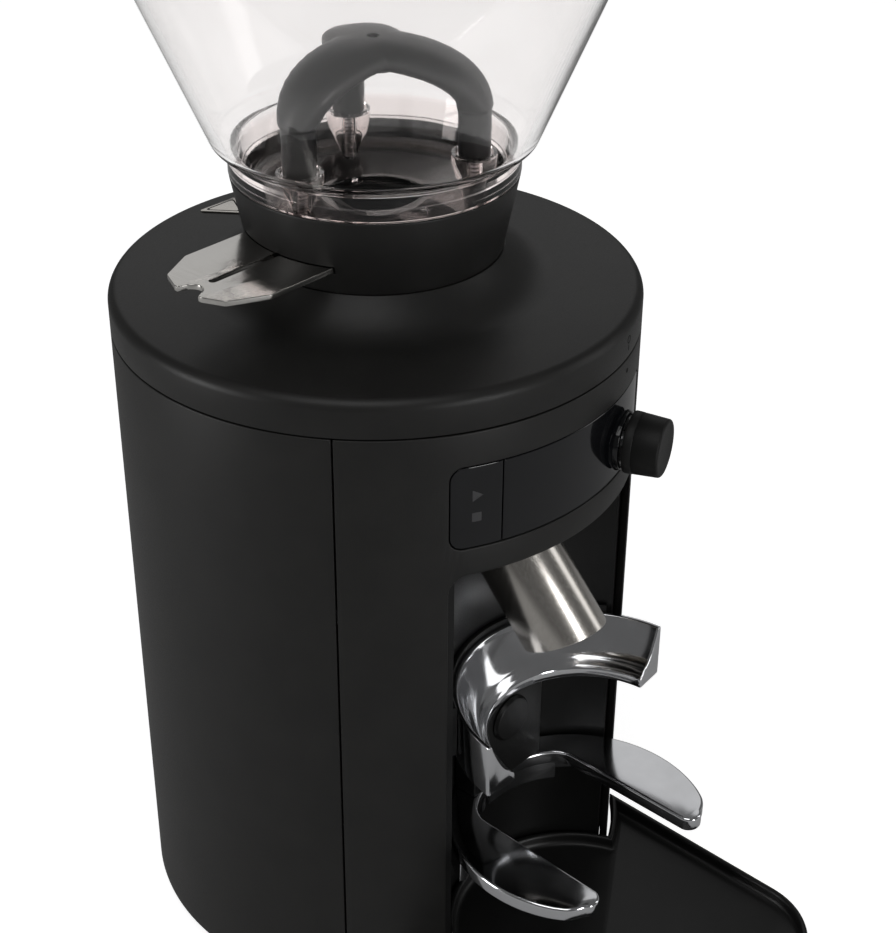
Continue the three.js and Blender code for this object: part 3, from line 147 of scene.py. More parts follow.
def revolve(profile, segments=192, start=0.0, sweep=360.0, centre=(0, 0)):
    """Turns a closed (radius, height) outline about the vertical through centre.
    Azimuth 0 is the front, and a sweep under 360 degrees gets flat ends."""
    bm = bmesh.new()
    whole = sweep >= 360
    stations = segments if whole else segments + 1
    rings = []
    for k in range(stations):
        azimuth = math.radians(start + sweep * k / segments)
        sin, cos = math.sin(azimuth), math.cos(azimuth)
        rings.append([bm.verts.new((centre[0] + r * sin, centre[1] - r * cos, z)) for r, z in profile])
    count = len(profile)
    for k in range(segments):
        here, there = rings[k], rings[(k + 1) % stations]
        for i in range(count):
            j = (i + 1) % count
            if profile[i][0] < 1e-6 and profile[j][0] < 1e-6:
                continue
            bm.faces.new((here[i], here[j], there[j], there[i]))
    if not whole:
        bm.faces.new(rings[0])
        bm.faces.new(reversed(rings[-1]))
    bmesh.ops.remove_doubles(bm, verts=bm.verts, dist=1e-4)
    return bm


def column(radius, low, high, centre=(0, 0)):
    """Solid cylinder about the vertical through centre."""
    return revolve([(0, low), (radius, low), (radius, high), (0, high)], 192, centre=centre)


def tube_between(start, end, r0, r1=None, segments=64):
    """Round bar or cone from one point to another."""
    r1 = r0 if r1 is None else r1
    start, end = Vector(start), Vector(end)
    along = end - start
    bm = revolve([(0, 0), (r0, 0), (r1, along.length), (0, along.length)], segments)
    turn = along.to_track_quat("Z", "Y").to_matrix().to_4x4()
    bm.transform(Matrix.Translation(start) @ turn)
    return bm


def block(low, high):
    bm = bmesh.new()
    bmesh.ops.create_cube(bm, size=1)
    low, high = Vector(low), Vector(high)
    size = high - low
    bm.transform(Matrix.Translation((low + high) / 2) @ Matrix.Diagonal((*size, 1)))
    return bm


def swept(loops, bm):
    """Skin over a row of point loops, closed at both ends."""
    for here, there in zip(loops, loops[1:]):
        for i in range(len(here)):
            j = (i + 1) % len(here)
            bm.faces.new((here[i], here[j], there[j], there[i]))
    bm.faces.new(reversed(loops[0]))
    bm.faces.new(loops[-1])
    bmesh.ops.recalc_face_normals(bm, faces=bm.faces)
    return bm


def added(name, data):
    """New object in the scene."""
    obj = bpy.data.objects.new(name, data)
    bpy.context.scene.collection.objects.link(obj)
    return obj


def shape_object(bm):
    bmesh.ops.recalc_face_normals(bm, faces=bm.faces)
    mesh = bpy.data.meshes.new("shape")
    bm.to_mesh(mesh)
    bm.free()
    return added("shape", mesh)


def drop(obj):
    data = obj.data
    bpy.data.objects.remove(obj)
    if isinstance(data, bpy.types.Mesh):
        bpy.data.meshes.remove(data)
    else:
        bpy.data.curves.remove(data)


def applied(obj):
    """bmesh of an object with its modifiers applied; the object goes."""
    view = bpy.context.evaluated_depsgraph_get()
    mesh = bpy.data.meshes.new_from_object(obj.evaluated_get(view))
    bm = bmesh.new()
    bm.from_mesh(mesh)
    bpy.data.meshes.remove(mesh)
    drop(obj)
    return bm


def combined(bm, tools, operation="DIFFERENCE"):
    target = shape_object(bm)
    others = [shape_object(tool) for tool in tools]
    for other in others:
        step = target.modifiers.new("combine", "BOOLEAN")
        step.operation = operation
        step.solver = "EXACT"
        step.object = other
    result = applied(target)
    for other in others:
        drop(other)
    return result


def eased(bm, width, steps=3, angle=40):
    """Rounds every edge sharper than the angle."""
    obj = shape_object(bm)
    step = obj.modifiers.new("ease", "BEVEL")
    step.width = width
    step.segments = steps
    step.limit_method = "ANGLE"
    step.angle_limit = math.radians(angle)
    return applied(obj)


def plate(outlines, thickness, bevel, steps=3):
    """Flat plate in X and Y whose outer face is z = 0: the first outline less the others."""
    curve = bpy.data.curves.new("plate", "CURVE")
    curve.dimensions = "2D"
    curve.fill_mode = "BOTH"
    curve.extrude = thickness / 2 - bevel
    curve.bevel_depth = bevel
    curve.bevel_resolution = steps
    curve.offset = -bevel
    for outline in outlines:
        spline = curve.splines.new("POLY")
        spline.points.add(len(outline) - 1)
        for point, (x, y) in zip(spline.points, outline):
            point.co = (x, y, 0, 1)
        spline.use_cyclic_u = True
    bm = applied(added("plate", curve))
    bmesh.ops.remove_doubles(bm, verts=bm.verts, dist=1e-3)
    bmesh.ops.translate(bm, verts=bm.verts, vec=(0, 0, -thickness / 2))
    return bm


def wrapped(bm, radius, step_deg=1.5, straight=0.0):
    """Bends a flat plate round the body: x runs round the circle and z becomes depth.

    Edges point at the axis. Up to `straight` from the middle they run straight back instead, along Y.
    """
    low = min(v.co.x for v in bm.verts)
    high = max(v.co.x for v in bm.verts)
    stride = radius * math.radians(step_deg)
    for k in range(math.ceil(low / stride), math.floor(high / stride) + 1):
        geometry = bm.verts[:] + bm.edges[:] + bm.faces[:]
        bmesh.ops.bisect_plane(bm, geom=geometry, plane_co=(k * stride, 0, 0), plane_no=(1, 0, 0))
    for vert in bm.verts:
        out = radius + vert.co.z
        beyond = abs(vert.co.x) - straight
        fan = 1.0 if straight == 0 else max(0.0, beyond / (max(high, -low) - straight))
        azimuth = vert.co.x / radius
        across = ((1 - fan) * radius + fan * out) * math.sin(azimuth)
        along = math.copysign(math.sqrt(max(0.0, out ** 2 - across ** 2)), math.cos(azimuth))
        vert.co = (across, -along, vert.co.y)
    return bm


def merged(*parts):
    """Several shapes as one mesh."""
    whole = parts[0]
    for part in parts[1:]:
        mesh = bpy.data.meshes.new("part")
        part.to_mesh(mesh)
        part.free()
        whole.from_mesh(mesh)
        bpy.data.meshes.remove(mesh)
    return whole


def raised(bm, by):
    """Moves a wrapped mark outwards, so that it stands proud of the surface."""
    for vert in bm.verts:
        vert.co += Vector((vert.co.x, vert.co.y, 0)).normalized() * by
    return bm


def piece(name, bm, node, smooth=35, material=None, also=()):
    """Makes a finished piece that stands for a CAD node and rides on its body."""
    bmesh.ops.recalc_face_normals(bm, faces=bm.faces)
    bm.transform(Matrix.Diagonal((MM, MM, MM, 1)) @ Matrix.Translation((0, AXIS_Y, 0)))
    for face in bm.faces:
        face.smooth = True
    mesh = bpy.data.meshes.new(name)
    bm.to_mesh(mesh)
    bm.free()
    mesh.set_sharp_from_angle(angle=math.radians(smooth))
    mesh.materials.append(material or MATERIALS[SLOT_OF[node]])
    obj = added(name, mesh)
    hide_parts(node, *also)
    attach(obj, BODY_OF[node])
    return obj


# ---------------------------------------------------------------- materials

class Finish:
    """One procedural material: a principled shader with noise in its colour, gloss and relief."""

    def __init__(self, name, **values):
        self.material = bpy.data.materials.new(name)
        self.material.use_nodes = True
        self.tree = self.material.node_tree
        self.shader = self.tree.nodes["Principled BSDF"]
        for socket, value in values.items():
            self.shader.inputs[socket.replace("_", " ")].default_value = value

    def node(self, kind, **values):
        node = self.tree.nodes.new(kind)
        for socket, value in values.items():
            node.inputs[socket.replace("_", " ")].default_value = value
        return node

    def link(self, source, target):
        self.tree.links.new(source, target)

    def noise(self, scale, detail=3.0, stretch=(1, 1, 1), turn=(0, 0, 0)):
        """Noise over the object's own coordinates; scale is in features per metre."""
        place = self.node("ShaderNodeTexCoord")
        mapping = self.node("ShaderNodeMapping")
        mapping.inputs["Scale"].default_value = stretch
        mapping.inputs["Rotation"].default_value = turn
        texture = self.node("ShaderNodeTexNoise", Scale=scale, Detail=detail)
        self.link(place.outputs["Object"], mapping.inputs["Vector"])
        self.link(mapping.outputs["Vector"], texture.inputs["Vector"])
        return texture.outputs["Fac"]

    def ramp(self, source, dark, light, low=0.3, high=0.7):
        ramp = self.tree.nodes.new("ShaderNodeValToRGB")
        ramp.color_ramp.elements[0].position = low
        ramp.color_ramp.elements[1].position = high
        ramp.color_ramp.elements[0].color = (*dark, 1)
        ramp.color_ramp.elements[1].color = (*light, 1)
        self.link(source, ramp.inputs["Fac"])
        return ramp.outputs["Color"]

    def colour(self, source, dark, light):
        self.link(self.ramp(source, dark, light), self.shader.inputs["Base Color"])

    def gloss(self, source, low, high):
        spread = self.node("ShaderNodeMapRange", From_Min=0.3, From_Max=0.7, To_Min=low, To_Max=high)
        self.link(source, spread.inputs["Value"])
        self.link(spread.outputs["Result"], self.shader.inputs["Roughness"])

    def relief(self, source, strength, depth):
        bump = self.node("ShaderNodeBump", Strength=strength, Distance=depth)
        self.link(source, bump.inputs["Height"])
        self.link(bump.outputs["Normal"], self.shader.inputs["Normal"])


def plastic(name, dark, light, gloss, grain, relief, specular=0.5):
    """Moulded or painted surface with a fine grain and slow variation in colour."""
    finish = Finish(name, Specular_IOR_Level=specular)
    fine = finish.noise(grain, 4.0)
    finish.colour(finish.noise(60.0, 4.0), dark, light)
    finish.gloss(fine, *gloss)
    finish.relief(fine, relief, 0.00005)
    return finish.material


def metal(name, dark, light, gloss, scale, stretch=(1, 1, 1), turn=(0, 0, 0), relief=0.15):
    """Bare metal; a stretched noise gives brushing."""
    finish = Finish(name, Metallic=1.0)
    grain = finish.noise(scale, 5.0, stretch, turn)
    finish.colour(grain, dark, light)
    finish.gloss(grain, *gloss)
    finish.relief(grain, relief, 0.00002)
    return finish.material


BAND_H = 9.2
# Painted reflections: a brown one of the collar over the hopper's seating band, and a warm cast in the rest
# of the clear moulding.
COLLAR_REFLECTION_TINT = (0.83, 0.77, 0.755)
CLEAR_REFLECTION_TINT = (0.97, 0.955, 0.95)


def clear_plastic():
    """Clear moulding, slightly wavy, with a painted warm reflection in its colour and a painted brown
    reflection of the collar on its seating band.
    """
    finish = Finish("clear_moulding", Transmission_Weight=1.0, IOR=1.46, Specular_IOR_Level=0.32)
    place = finish.node("ShaderNodeTexCoord")
    parts = finish.node("ShaderNodeSeparateXYZ")
    finish.link(place.outputs["Object"], parts.inputs["Vector"])
    height = finish.node(
        "ShaderNodeMapRange", From_Min=COLLAR_TOP * MM, From_Max=(COLLAR_TOP + BAND_H) * MM)
    finish.link(parts.outputs["Z"], height.inputs["Value"])
    # Painted reflection of the collar: brown up the seating band, fading at its top into the warm cast.
    band = finish.ramp(height.outputs["Result"], COLLAR_REFLECTION_TINT, CLEAR_REFLECTION_TINT, 0.75, 1.0)
    cloud = finish.ramp(finish.noise(25.0, 2.0), (0.95, 0.95, 0.95), (1.0, 1.0, 1.0))
    blend = finish.tree.nodes.new("ShaderNodeMix")
    blend.data_type = "RGBA"
    blend.blend_type = "MULTIPLY"
    blend.inputs[0].default_value = 1.0
    finish.link(band, blend.inputs[6])
    finish.link(cloud, blend.inputs[7])
    finish.link(blend.outputs[2], finish.shader.inputs["Base Color"])
    finish.gloss(finish.noise(180.0, 3.0), 0.015, 0.04)
    finish.relief(finish.noise(70.0, 2.0), 0.08, 0.0002)
    return finish.material


def circuit_board():
    finish = Finish("green_laminate", Specular_IOR_Level=0.5)
    finish.colour(finish.noise(900.0, 2.0), (0.012, 0.07, 0.03), (0.02, 0.11, 0.05))
    finish.gloss(finish.noise(400.0), 0.3, 0.45)
    return finish.material


SPOUT_TURN = (math.radians(-47), 0, 0)
# plastic: name, dark, light, gloss range, grain per metre, relief, specular.
# metal: name, dark, light, gloss range, grain per metre, stretch, turn, relief.
MATERIALS = {
    "painted_body": plastic(
        "charcoal_paint", (0.0105, 0.0103, 0.0098), (0.0135, 0.0131, 0.0124),
        (0.38, 0.5), 2600.0, 0.6, 0.3),
    "gloss_panel": plastic(
        "black_lens", (0.003, 0.0032, 0.004), (0.0045, 0.0048, 0.0058),
        (0.05, 0.09), 300.0, 0.02, 0.42),
    "satin_plastic": plastic(
        "satin_moulding", (0.0045, 0.0045, 0.0045), (0.0065, 0.0065, 0.0063),
        (0.32, 0.44), 1800.0, 0.25, 0.32),
    "dark_plastic": plastic(
        "dark_moulding", (0.010, 0.010, 0.011), (0.014, 0.014, 0.015), (0.42, 0.55), 1800.0, 0.3, 0.4),
    "knob_plastic": plastic(
        "soft_touch", (0.0055, 0.0055, 0.0054), (0.0075, 0.0075, 0.0072),
        (0.46, 0.58), 2400.0, 0.3, 0.25),
    "arch_plastic": plastic(
        "grey_moulding", (0.0105, 0.0105, 0.0112), (0.0135, 0.0135, 0.0142),
        (0.36, 0.46), 1600.0, 0.2, 0.3),
    "brushed_steel": metal(
        "brushed_stainless", (0.50, 0.475, 0.44), (0.58, 0.555, 0.52), (0.2, 0.27), 1600.0,
        (1, 1, 0.04), SPOUT_TURN, 0.03),
    "polished_metal": metal(
        "polished_casting", (0.64, 0.645, 0.66), (0.71, 0.715, 0.735), (0.08, 0.13), 90.0, relief=0.012),
    "machine_steel": metal(
        "turned_steel", (0.42, 0.42, 0.43), (0.56, 0.56, 0.57), (0.25, 0.4), 700.0, (1, 1, 4)),
    "cast_frame": metal(
        "cast_aluminium", (0.38, 0.385, 0.39), (0.52, 0.52, 0.53), (0.45, 0.65), 900.0, relief=0.5),
    "rotor_copper": metal(
        "laminated_core", (0.30, 0.17, 0.08), (0.48, 0.29, 0.15), (0.3, 0.5), 500.0, (1, 1, 6)),
    "circuit_board": circuit_board(),
    "clear_plastic": clear_plastic(),
    "rubber": plastic(
        "matt_rubber", (0.010, 0.010, 0.010), (0.016, 0.016, 0.016), (0.7, 0.85), 1500.0, 0.4, 0.3),
}
ENGRAVED = plastic("engraved_mark", (0.002, 0.002, 0.002), (0.004, 0.004, 0.004),
                   (0.6, 0.8), 900.0, 0.1, 0.2)
PRINTED = plastic("printed_mark", (0.045, 0.045, 0.047), (0.055, 0.055, 0.057),
                  (0.4, 0.5), 900.0, 0.1, 0.3)
SLIDE_STEEL = metal(
    "brushed_sheet", (0.53, 0.515, 0.49), (0.58, 0.565, 0.54), (0.15, 0.2), 1600.0,
    (1, 0.03, 1), (0, 0, 0), 0.012)


# ---------------------------------------------------------------- body shells

def front_cover():
    edge = BODY_R * SPLIT_AZ
    side = BODY_R * OPENING_AZ
    outline = rounded([
        (-edge, BODY_Z), (-side, BODY_Z), (-side, OPENING_TOP, OPENING_CORNER_R),
        (side, OPENING_TOP, OPENING_CORNER_R), (side, BODY_Z), (edge, BODY_Z),
        (edge, BODY_TOP), (-edge, BODY_TOP),
    ])
    window = rectangle(-side, side, WINDOW_Z, WINDOW_TOP, WINDOW_CORNER_R)
    panel = wrapped(plate([outline, window], COVER_WALL, COVER_EDGE), BODY_R, straight=side + 1)
    piece("front_cover_panel", panel, "front_cover")


def rear_cover():
    edge = BODY_R * SPLIT_AZ + SEAM
    middle = math.pi * BODY_R
    outline = rounded([
        (edge, BODY_Z), (2 * middle - edge, BODY_Z), (2 * middle - edge, BODY_TOP), (edge, BODY_TOP),
    ])
    ports = []
    for node in ("power_inlet", "switch_housing"):
        low, high = span(node)
        half = BODY_R * math.asin(high.x / BODY_R) + GAP
        ports.append(rectangle(middle - half, middle + half, low.z - GAP, high.z + GAP, 1.2, 4))
    panel = wrapped(plate([outline, *ports], COVER_WALL, COVER_EDGE), BODY_R, 2)
    piece("rear_cover_panel", panel, "rear_cover")


def recess_liner():
    low, high = span("recess_liner")
    inside = BODY_R - COVER_WALL - GAP
    flange_in = inside - COVER_WALL
    centre = (0, RECESS_Y)
    shell = column(RECESS_R + LINER_WALL, low.z, high.z, centre)
    keep = column(inside, low.z - 5, high.z + 5)
    shell = combined(shell, [keep], "INTERSECT")
    flanges = []
    for start in (28, -36):
        flanges.append(revolve(
            [(flange_in, low.z), (inside, low.z), (inside, high.z), (flange_in, high.z)], 12, start, 8))
    shell = combined(shell, flanges, "UNION")
    hollow = column(RECESS_R, low.z - 9, OPENING_TOP, centre)
    rear = RECESS_Y + RECESS_R
    slot = block((-6.1, rear - 8, span("fork_rail")[0].z + 13), (6.1, rear + 8, span("cradle")[0].z - 6))
    way = tube_between(spout_point(-40), spout_point(20), SPOUT_R + 1.2, segments=96)
    piece("recess_liner_shell", combined(shell, [hollow, slot, way]), "recess_liner")


# ---------------------------------------------------------------- grind ring, collar and slide

RING_SHOULDER_R = 65.0
RING_EDGE_R = 4
RING_FALL = 1.7
MARK_AZ = math.radians(19.3)
MARK_T = 0.2
MARK_EDGE = 0.02
MARK_PROUD = 0.05


def ring_slope(radius):
    """Height of the ring's top between its shoulder and its rounded edge."""
    share = (radius - RING_SHOULDER_R) / (BODY_R - RING_EDGE_R - RING_SHOULDER_R)
    return RING_RIM_TOP + RING_FALL * (1 - share)


def grind_ring():
    foot_r = 45.6
    shoulder = ring_slope(RING_SHOULDER_R)
    flare = []
    steps = 18
    for k in range(steps + 1):
        s = k / steps
        radius = RING_SHOULDER_R + (foot_r - RING_SHOULDER_R) * s
        flare.append((radius, shoulder + (RING_TOP - shoulder) * s ** 2.2))
    hub = span("grind_ring")[0].z
    rim = arc(BODY_R - RING_EDGE_R, RING_RIM_TOP - RING_EDGE_R, RING_EDGE_R, 0, 86, 10)
    profile = [
        (BODY_R - 0.4, RING_Z), (BODY_R - 0.1, RING_Z + 0.1), (BODY_R, RING_Z + 0.4), *rim, *flare,
        (43, RING_TOP), (43, RING_TOP - 4), (41.5, RING_TOP - 5), (41.5, hub), (44.5, hub),
        (44.5, RING_TOP - 9), (50, RING_TOP - 12), (RING_SHOULDER_R, shoulder - 3),
        (BODY_R - 6, RING_RIM_TOP - 3), (BODY_R - 3, RING_RIM_TOP - 6), (BODY_R - 3, RING_Z),
    ]
    piece("grind_ring_shell", revolve(profile, 256), "grind_ring")


def ring_marks():
    """A plain index on the ring and the dot it lines up with on the cover, both just proud."""
    at = BODY_R * MARK_AZ
    height = RING_Z + 6.8

    def mark(*outlines):
        return wrapped(plate(outlines, MARK_T, MARK_EDGE), BODY_R, 0.5)

    loop = mark(arc(at, height, 1.5, 0, 345, 23), arc(at, height, 1.1, 0, 345, 23))
    index = mark(rectangle(at - 0.25, at + 0.25, RING_Z + 2.6, height - 2.1, 0.2))
    dot = mark(arc(at, BODY_TOP - 4.6, 0.9, 0, 345, 23))
    piece("ring_index_mark", raised(merged(loop, index), MARK_PROUD), "grind_ring", material=ENGRAVED)
    piece("cover_index_dot", raised(dot, MARK_PROUD), "front_cover", material=ENGRAVED)


def hopper_collar():
    foot_r = 45.0
    top_r = span("hopper_collar")[1].x
    floor = span("slide_pin")[1].z + 0.5
    inner = top_r - 3
    profile = rounded([
        (0, COLLAR_Z), (foot_r, COLLAR_Z, 0.5), (top_r, COLLAR_TOP, 0.6), (inner, COLLAR_TOP, 0.6),
        (inner, floor, 0.8), (0, floor),
    ], 4)
    slide_low, slide_high = span("hopper_slide")
    channel = block((-top_r - 5, -slide_high.y - 0.5, slide_low.z - GAP),
                    (20.5, slide_high.y + 0.5, slide_high.z + GAP))
    throat = plate([rectangle(-15.5, 15.5, -18, 18, 8)], 40, 0.01)
    bmesh.ops.translate(throat, verts=throat.verts, vec=(0, 0, COLLAR_TOP))
    piece("hopper_collar_shell", combined(revolve(profile, 192), [channel, throat]), "hopper_collar")


def hopper_slide():
    low, high = span("hopper_slide")
    half = high.y
    tip = low.x
    notch = arc(tip + 1.2, 0, 4.2, 80, -80, 14)
    outline = rounded([
        (high.x, -half, 1), (high.x, half, 1), (tip + 17, half, 3), (tip + 3.5, 14.5, 2.5), (tip, 6.5, 1),
        (tip, 5, 0.4), *notch, (tip, -5, 0.4), (tip, -6.5, 1), (tip + 3.5, -14.5, 2.5), (tip + 17, -half, 3),
    ])
    end = span("slide_pin")[0].x + 1.8
    slot = [*arc(end - 1.0, 0, 1.3, -90, 90, 8), *arc(tip + 10.8, 0, 1.3, 90, 270, 8)]
    sheet = plate([outline, slot], high.z - low.z, 0.25)
    bmesh.ops.translate(sheet, verts=sheet.verts, vec=(0, 0, high.z))
    piece("hopper_slide_sheet", sheet, "hopper_slide", material=SLIDE_STEEL)


def badge_plate():
    """Triangular plate with its point towards the hopper and a plain printed border."""
    base, half = span("badge_plate")[1].y + 1.6, 9.4
    centre = base - half / math.sqrt(3)

    def triangle(inset):
        reach = 2 * (half / math.sqrt(3) - inset)
        corners = [math.radians(turn) for turn in (150, 30, -90)]
        return rounded([(reach * math.cos(a), centre + reach * math.sin(a), 0.9) for a in corners])

    for name, outlines, thick, lift, material in (
            ("badge_plate_sheet", [triangle(0)], 0.45, 0.55, None),
            ("badge_plate_border", [triangle(1.2), triangle(1.7)], 0.04, 0.58, ENGRAVED)):
        flat = plate(outlines, thick, thick / 6)
        for vert in flat.verts:
            vert.co.z += ring_slope(math.hypot(vert.co.x, vert.co.y)) + lift
        piece(name, flat, "badge_plate", material=material)


# ---------------------------------------------------------------- hopper, lid and arch

LEG_CIRCLE_R = 35.0
LEG_R = 6.2
BOSS_R = 8.0
ARCH_AZIMUTHS = (-90, 30, 150)
SHOULDER_H = 17.0
BAND_HALF_W = 13.0
BAND_HALF_T = 4.6


def around(radius, azimuth, z):
    angle = math.radians(azimuth)
    return Vector((radius * math.sin(angle), -radius * math.cos(angle), z))


def leg_boss(foot, top):
    """Flared cup under a leg of the guard, drawn to a blunt point at its foot."""
    height = top.z - foot.z
    wall = [(0.0, -0.5)]
    for k in range(11):
        s = k / 10
        wall.append((2.6 + (BOSS_R - 2.6) * math.sin(math.pi / 2 * s) ** 1.25, s * height))
    wall += [(BOSS_R, height + 1.2), (BOSS_R - 0.8, height + 1.6), (LEG_R + 0.3, height + 1.2),
             (LEG_R + 0.3, height), (0.0, height)]
    profile = [(r, foot.z + z) for r, z in wall]
    return revolve(profile, 48, centre=(foot.x, foot.y))


def hopper():
    low, high = span("hopper")
    wall = 2.2
    rim = HOPPER_RIM_R
    seat = COLLAR_TOP + 0.05
    band = span("hopper_collar")[1].x + 0.1
    band_top = seat + BAND_H
    shoulder_r, shoulder_z = 56.4, band_top + 3.4
    cone_top = high.z - 8.5
    spigot = band - 3.9
    profile = rounded([
        (20, low.z, 0.4), (24, low.z, 1), (spigot, low.z + 7, 2), (spigot, seat, 0.4), (band, seat, 0.7),
        (band, band_top, 1.0), (shoulder_r, shoulder_z, 3.0), (rim - 2, cone_top, 3),
        (rim, cone_top + 1.5, 1),
        (rim, high.z, 0.8), (rim - wall, high.z, 0.8), (rim - wall, cone_top + 2.5, 1),
        (rim - wall - 2.3, cone_top + 0.5, 2), (shoulder_r - wall - 0.4, shoulder_z + 1.8, 5),
        (band - wall - 0.8, band_top + 1, 2), (44.3, low.z + 9, 2.5), (23, low.z + wall + 0.3, 0.8),
        (20, low.z + wall + 0.3, 0.4),
    ], 5)
    shell = revolve(profile, 160)
    leg_z = span("guard_arch")[0].z
    posts, holes = [], []
    for azimuth in ARCH_AZIMUTHS:
        top = around(LEG_CIRCLE_R, azimuth, leg_z - 0.05)
        foot = around(LEG_CIRCLE_R, azimuth, low.z + 5.2)
        bore = around(LEG_CIRCLE_R, azimuth, low.z - 2)
        posts.append(leg_boss(foot, top))
        holes.append(tube_between(bore, top + Vector((0, 0, 2)), 1.9, segments=32))
    shell = combined(shell, posts, "UNION")
    piece("hopper_bowl", combined(shell, holes), "hopper")


def limb_point(s, foot, crown):
    """Place on a limb's centre line, from the leg's top (s = 0) to the crown (s = 1)."""
    swing = math.pi / 2 * s
    return LEG_CIRCLE_R * math.cos(swing) ** 0.9, foot + (crown - foot) * math.sin(swing) ** 0.94


def limb_loop(bm, azimuth, spread, z, lean, half_wide, half_thick, power):
    """Ring of points across a limb: a rounded section leaning with its centre line."""
    out_dir = around(1, azimuth, 0)
    side_dir = Vector((-out_dir.y, out_dir.x, 0))
    loop = []
    sides = 36
    for i in range(sides):
        turn = 2 * math.pi * i / sides
        out = half_thick * math.copysign(abs(math.cos(turn)) ** power, math.cos(turn))
        aside = half_wide * math.copysign(abs(math.sin(turn)) ** power, math.sin(turn))
        at = out_dir * (spread + out * math.cos(lean)) + side_dir * aside
        loop.append(bm.verts.new((at.x, at.y, z + out * math.sin(lean))))
    return loop


def arch_limb(azimuth, foot, top):
    """Crowned band of the guard, from its shoulder over the leg up to the crown."""
    bm = bmesh.new()
    stations = 44
    shoulder = foot + SHOULDER_H
    crown = top - BAND_HALF_T
    loops = []
    for k in range(stations + 1):
        s = k / stations
        spread, z = limb_point(s, shoulder, crown)
        near = limb_point(max(0, s - 0.01), shoulder, crown)
        far = limb_point(min(1, s + 0.01), shoulder, crown)
        lean = math.atan2(near[0] - far[0], far[1] - near[1])
        wide = LEG_R + 0.3 + (BAND_HALF_W - LEG_R) * math.sin(math.pi / 2 * s) ** 0.9
        thick = BAND_HALF_T + (LEG_R - BAND_HALF_T) * (1 - s) ** 3
        loops.append(limb_loop(bm, azimuth, spread, z, lean, wide, thick, 0.8))
    return swept(loops, bm)


def arch_leg(azimuth, foot, top):
    """Round leg and the narrower web that runs up under the band."""
    bm = bmesh.new()
    stations = 30
    shoulder = foot + SHOULDER_H
    crown = top - BAND_HALF_T - 3.0
    web = LEG_R - 0.5
    loops = [limb_loop(bm, azimuth, LEG_CIRCLE_R, foot, 0, web, web, 1.0)]
    for k in range(stations + 1):
        s = k / stations
        spread, z = limb_point(s, shoulder - 1, crown)
        lean = math.pi / 2 * s
        loops.append(limb_loop(bm, azimuth, spread - 1.2 * s, z, lean, web, web - 2.2 * s, 0.9))
    return swept(loops, bm)


def guard_arch():
    low, high = span("guard_arch")
    crown = revolve([
        (0, high.z - 9.6), (11, high.z - 9.6), (14, high.z - 6.4), (10.5, high.z - 2.9), (5.5, high.z - 0.8),
        (0, high.z),
    ], 64)
    limbs = [make(azimuth, low.z, high.z) for azimuth in ARCH_AZIMUTHS for make in (arch_limb, arch_leg)]
    obj = shape_object(merged(crown, *limbs))
    cage = obj.modifiers.new("cage", "REMESH")
    cage.mode = "VOXEL"
    cage.voxel_size = 0.55
    relax = obj.modifiers.new("relax", "SMOOTH")
    relax.iterations = 9
    relax.factor = 0.5
    skin = applied(obj)
    bores = []
    for azimuth in ARCH_AZIMUTHS:
        under, inside = around(LEG_CIRCLE_R, azimuth, low.z - 5), around(LEG_CIRCLE_R, azimuth, low.z + 8)
        bores.append(tube_between(under, inside, 1.75, segments=24))
    dimple = tube_between((0, 0, high.z - 3.4), (0, 0, high.z + 0.6), 0.9, 2.4, 40)
    feet = block((-60, -60, low.z - 6), (60, 60, low.z + 0.05))
    piece("guard_arch_moulding", combined(skin, [feet, *bores, dimple]), "guard_arch", smooth=50)


def hopper_lid():
    low, high = span("hopper_lid")
    radius = high.x
    seat = span("hopper")[1].z + 0.05
    skirt = HOPPER_RIM_R - 4.4
    dome = [(radius - 2.5, high.z - 4 * ((radius - 2.5) / radius) ** 2)]
    for k in range(1, 13):
        r = (radius - 2.5) * (1 - k / 12)
        dome.append((r, high.z - 4 * (r / radius) ** 2))
    inner = seat + (high.z - 12 - seat) * 0.6
    profile = [
        (0, inner), (skirt - 2.5, seat), (skirt - 2.5, low.z), (skirt, low.z), (skirt, low.z + 1.4),
        (skirt - 0.9, low.z + 1.4), (skirt - 0.9, seat - 2), (skirt, seat - 2), (skirt, seat),
        (radius - 0.6, seat), (radius - 0.1, seat + 0.3), (radius, seat + 0.8), (radius, high.z - 6.4),
        (radius - 0.4, high.z - 5.2), (radius - 1.3, high.z - 4.3), *dome,
    ]
    piece("hopper_lid_moulding", revolve(profile, 160), "hopper_lid")


def lid_seal():
    low, high = span("lid_seal")
    inner = HOPPER_RIM_R - 5
    profile = rectangle(inner, high.x, low.z, high.z, 0.5)
    piece("lid_seal_ring", revolve(profile, 160), "lid_seal")


def arch_screws():
    """Screws up through the clear bosses, with a turned thread."""
    for number in (1, 2, 3):
        node = f"arch_screw_{number}"
        low, high = span(node)
        x, y = (low.x + high.x) / 2, (low.y + high.y) / 2
        radius = (high.x - low.x) / 2
        profile = [(0, low.z), (radius, low.z)]
        turns = 18
        for k in range(turns):
            z = low.z + 0.6 + (high.z - low.z - 1.2) * k / turns
            step = (high.z - low.z - 1.2) / turns
            profile += [(radius - 0.28, z), (radius, z + step / 2)]
        profile += [(radius - 0.3, high.z), (0, high.z)]
        piece(f"{node}_thread", revolve(profile, 40, centre=(x, y)), node)


# ---------------------------------------------------------------- spout, cradle and fork

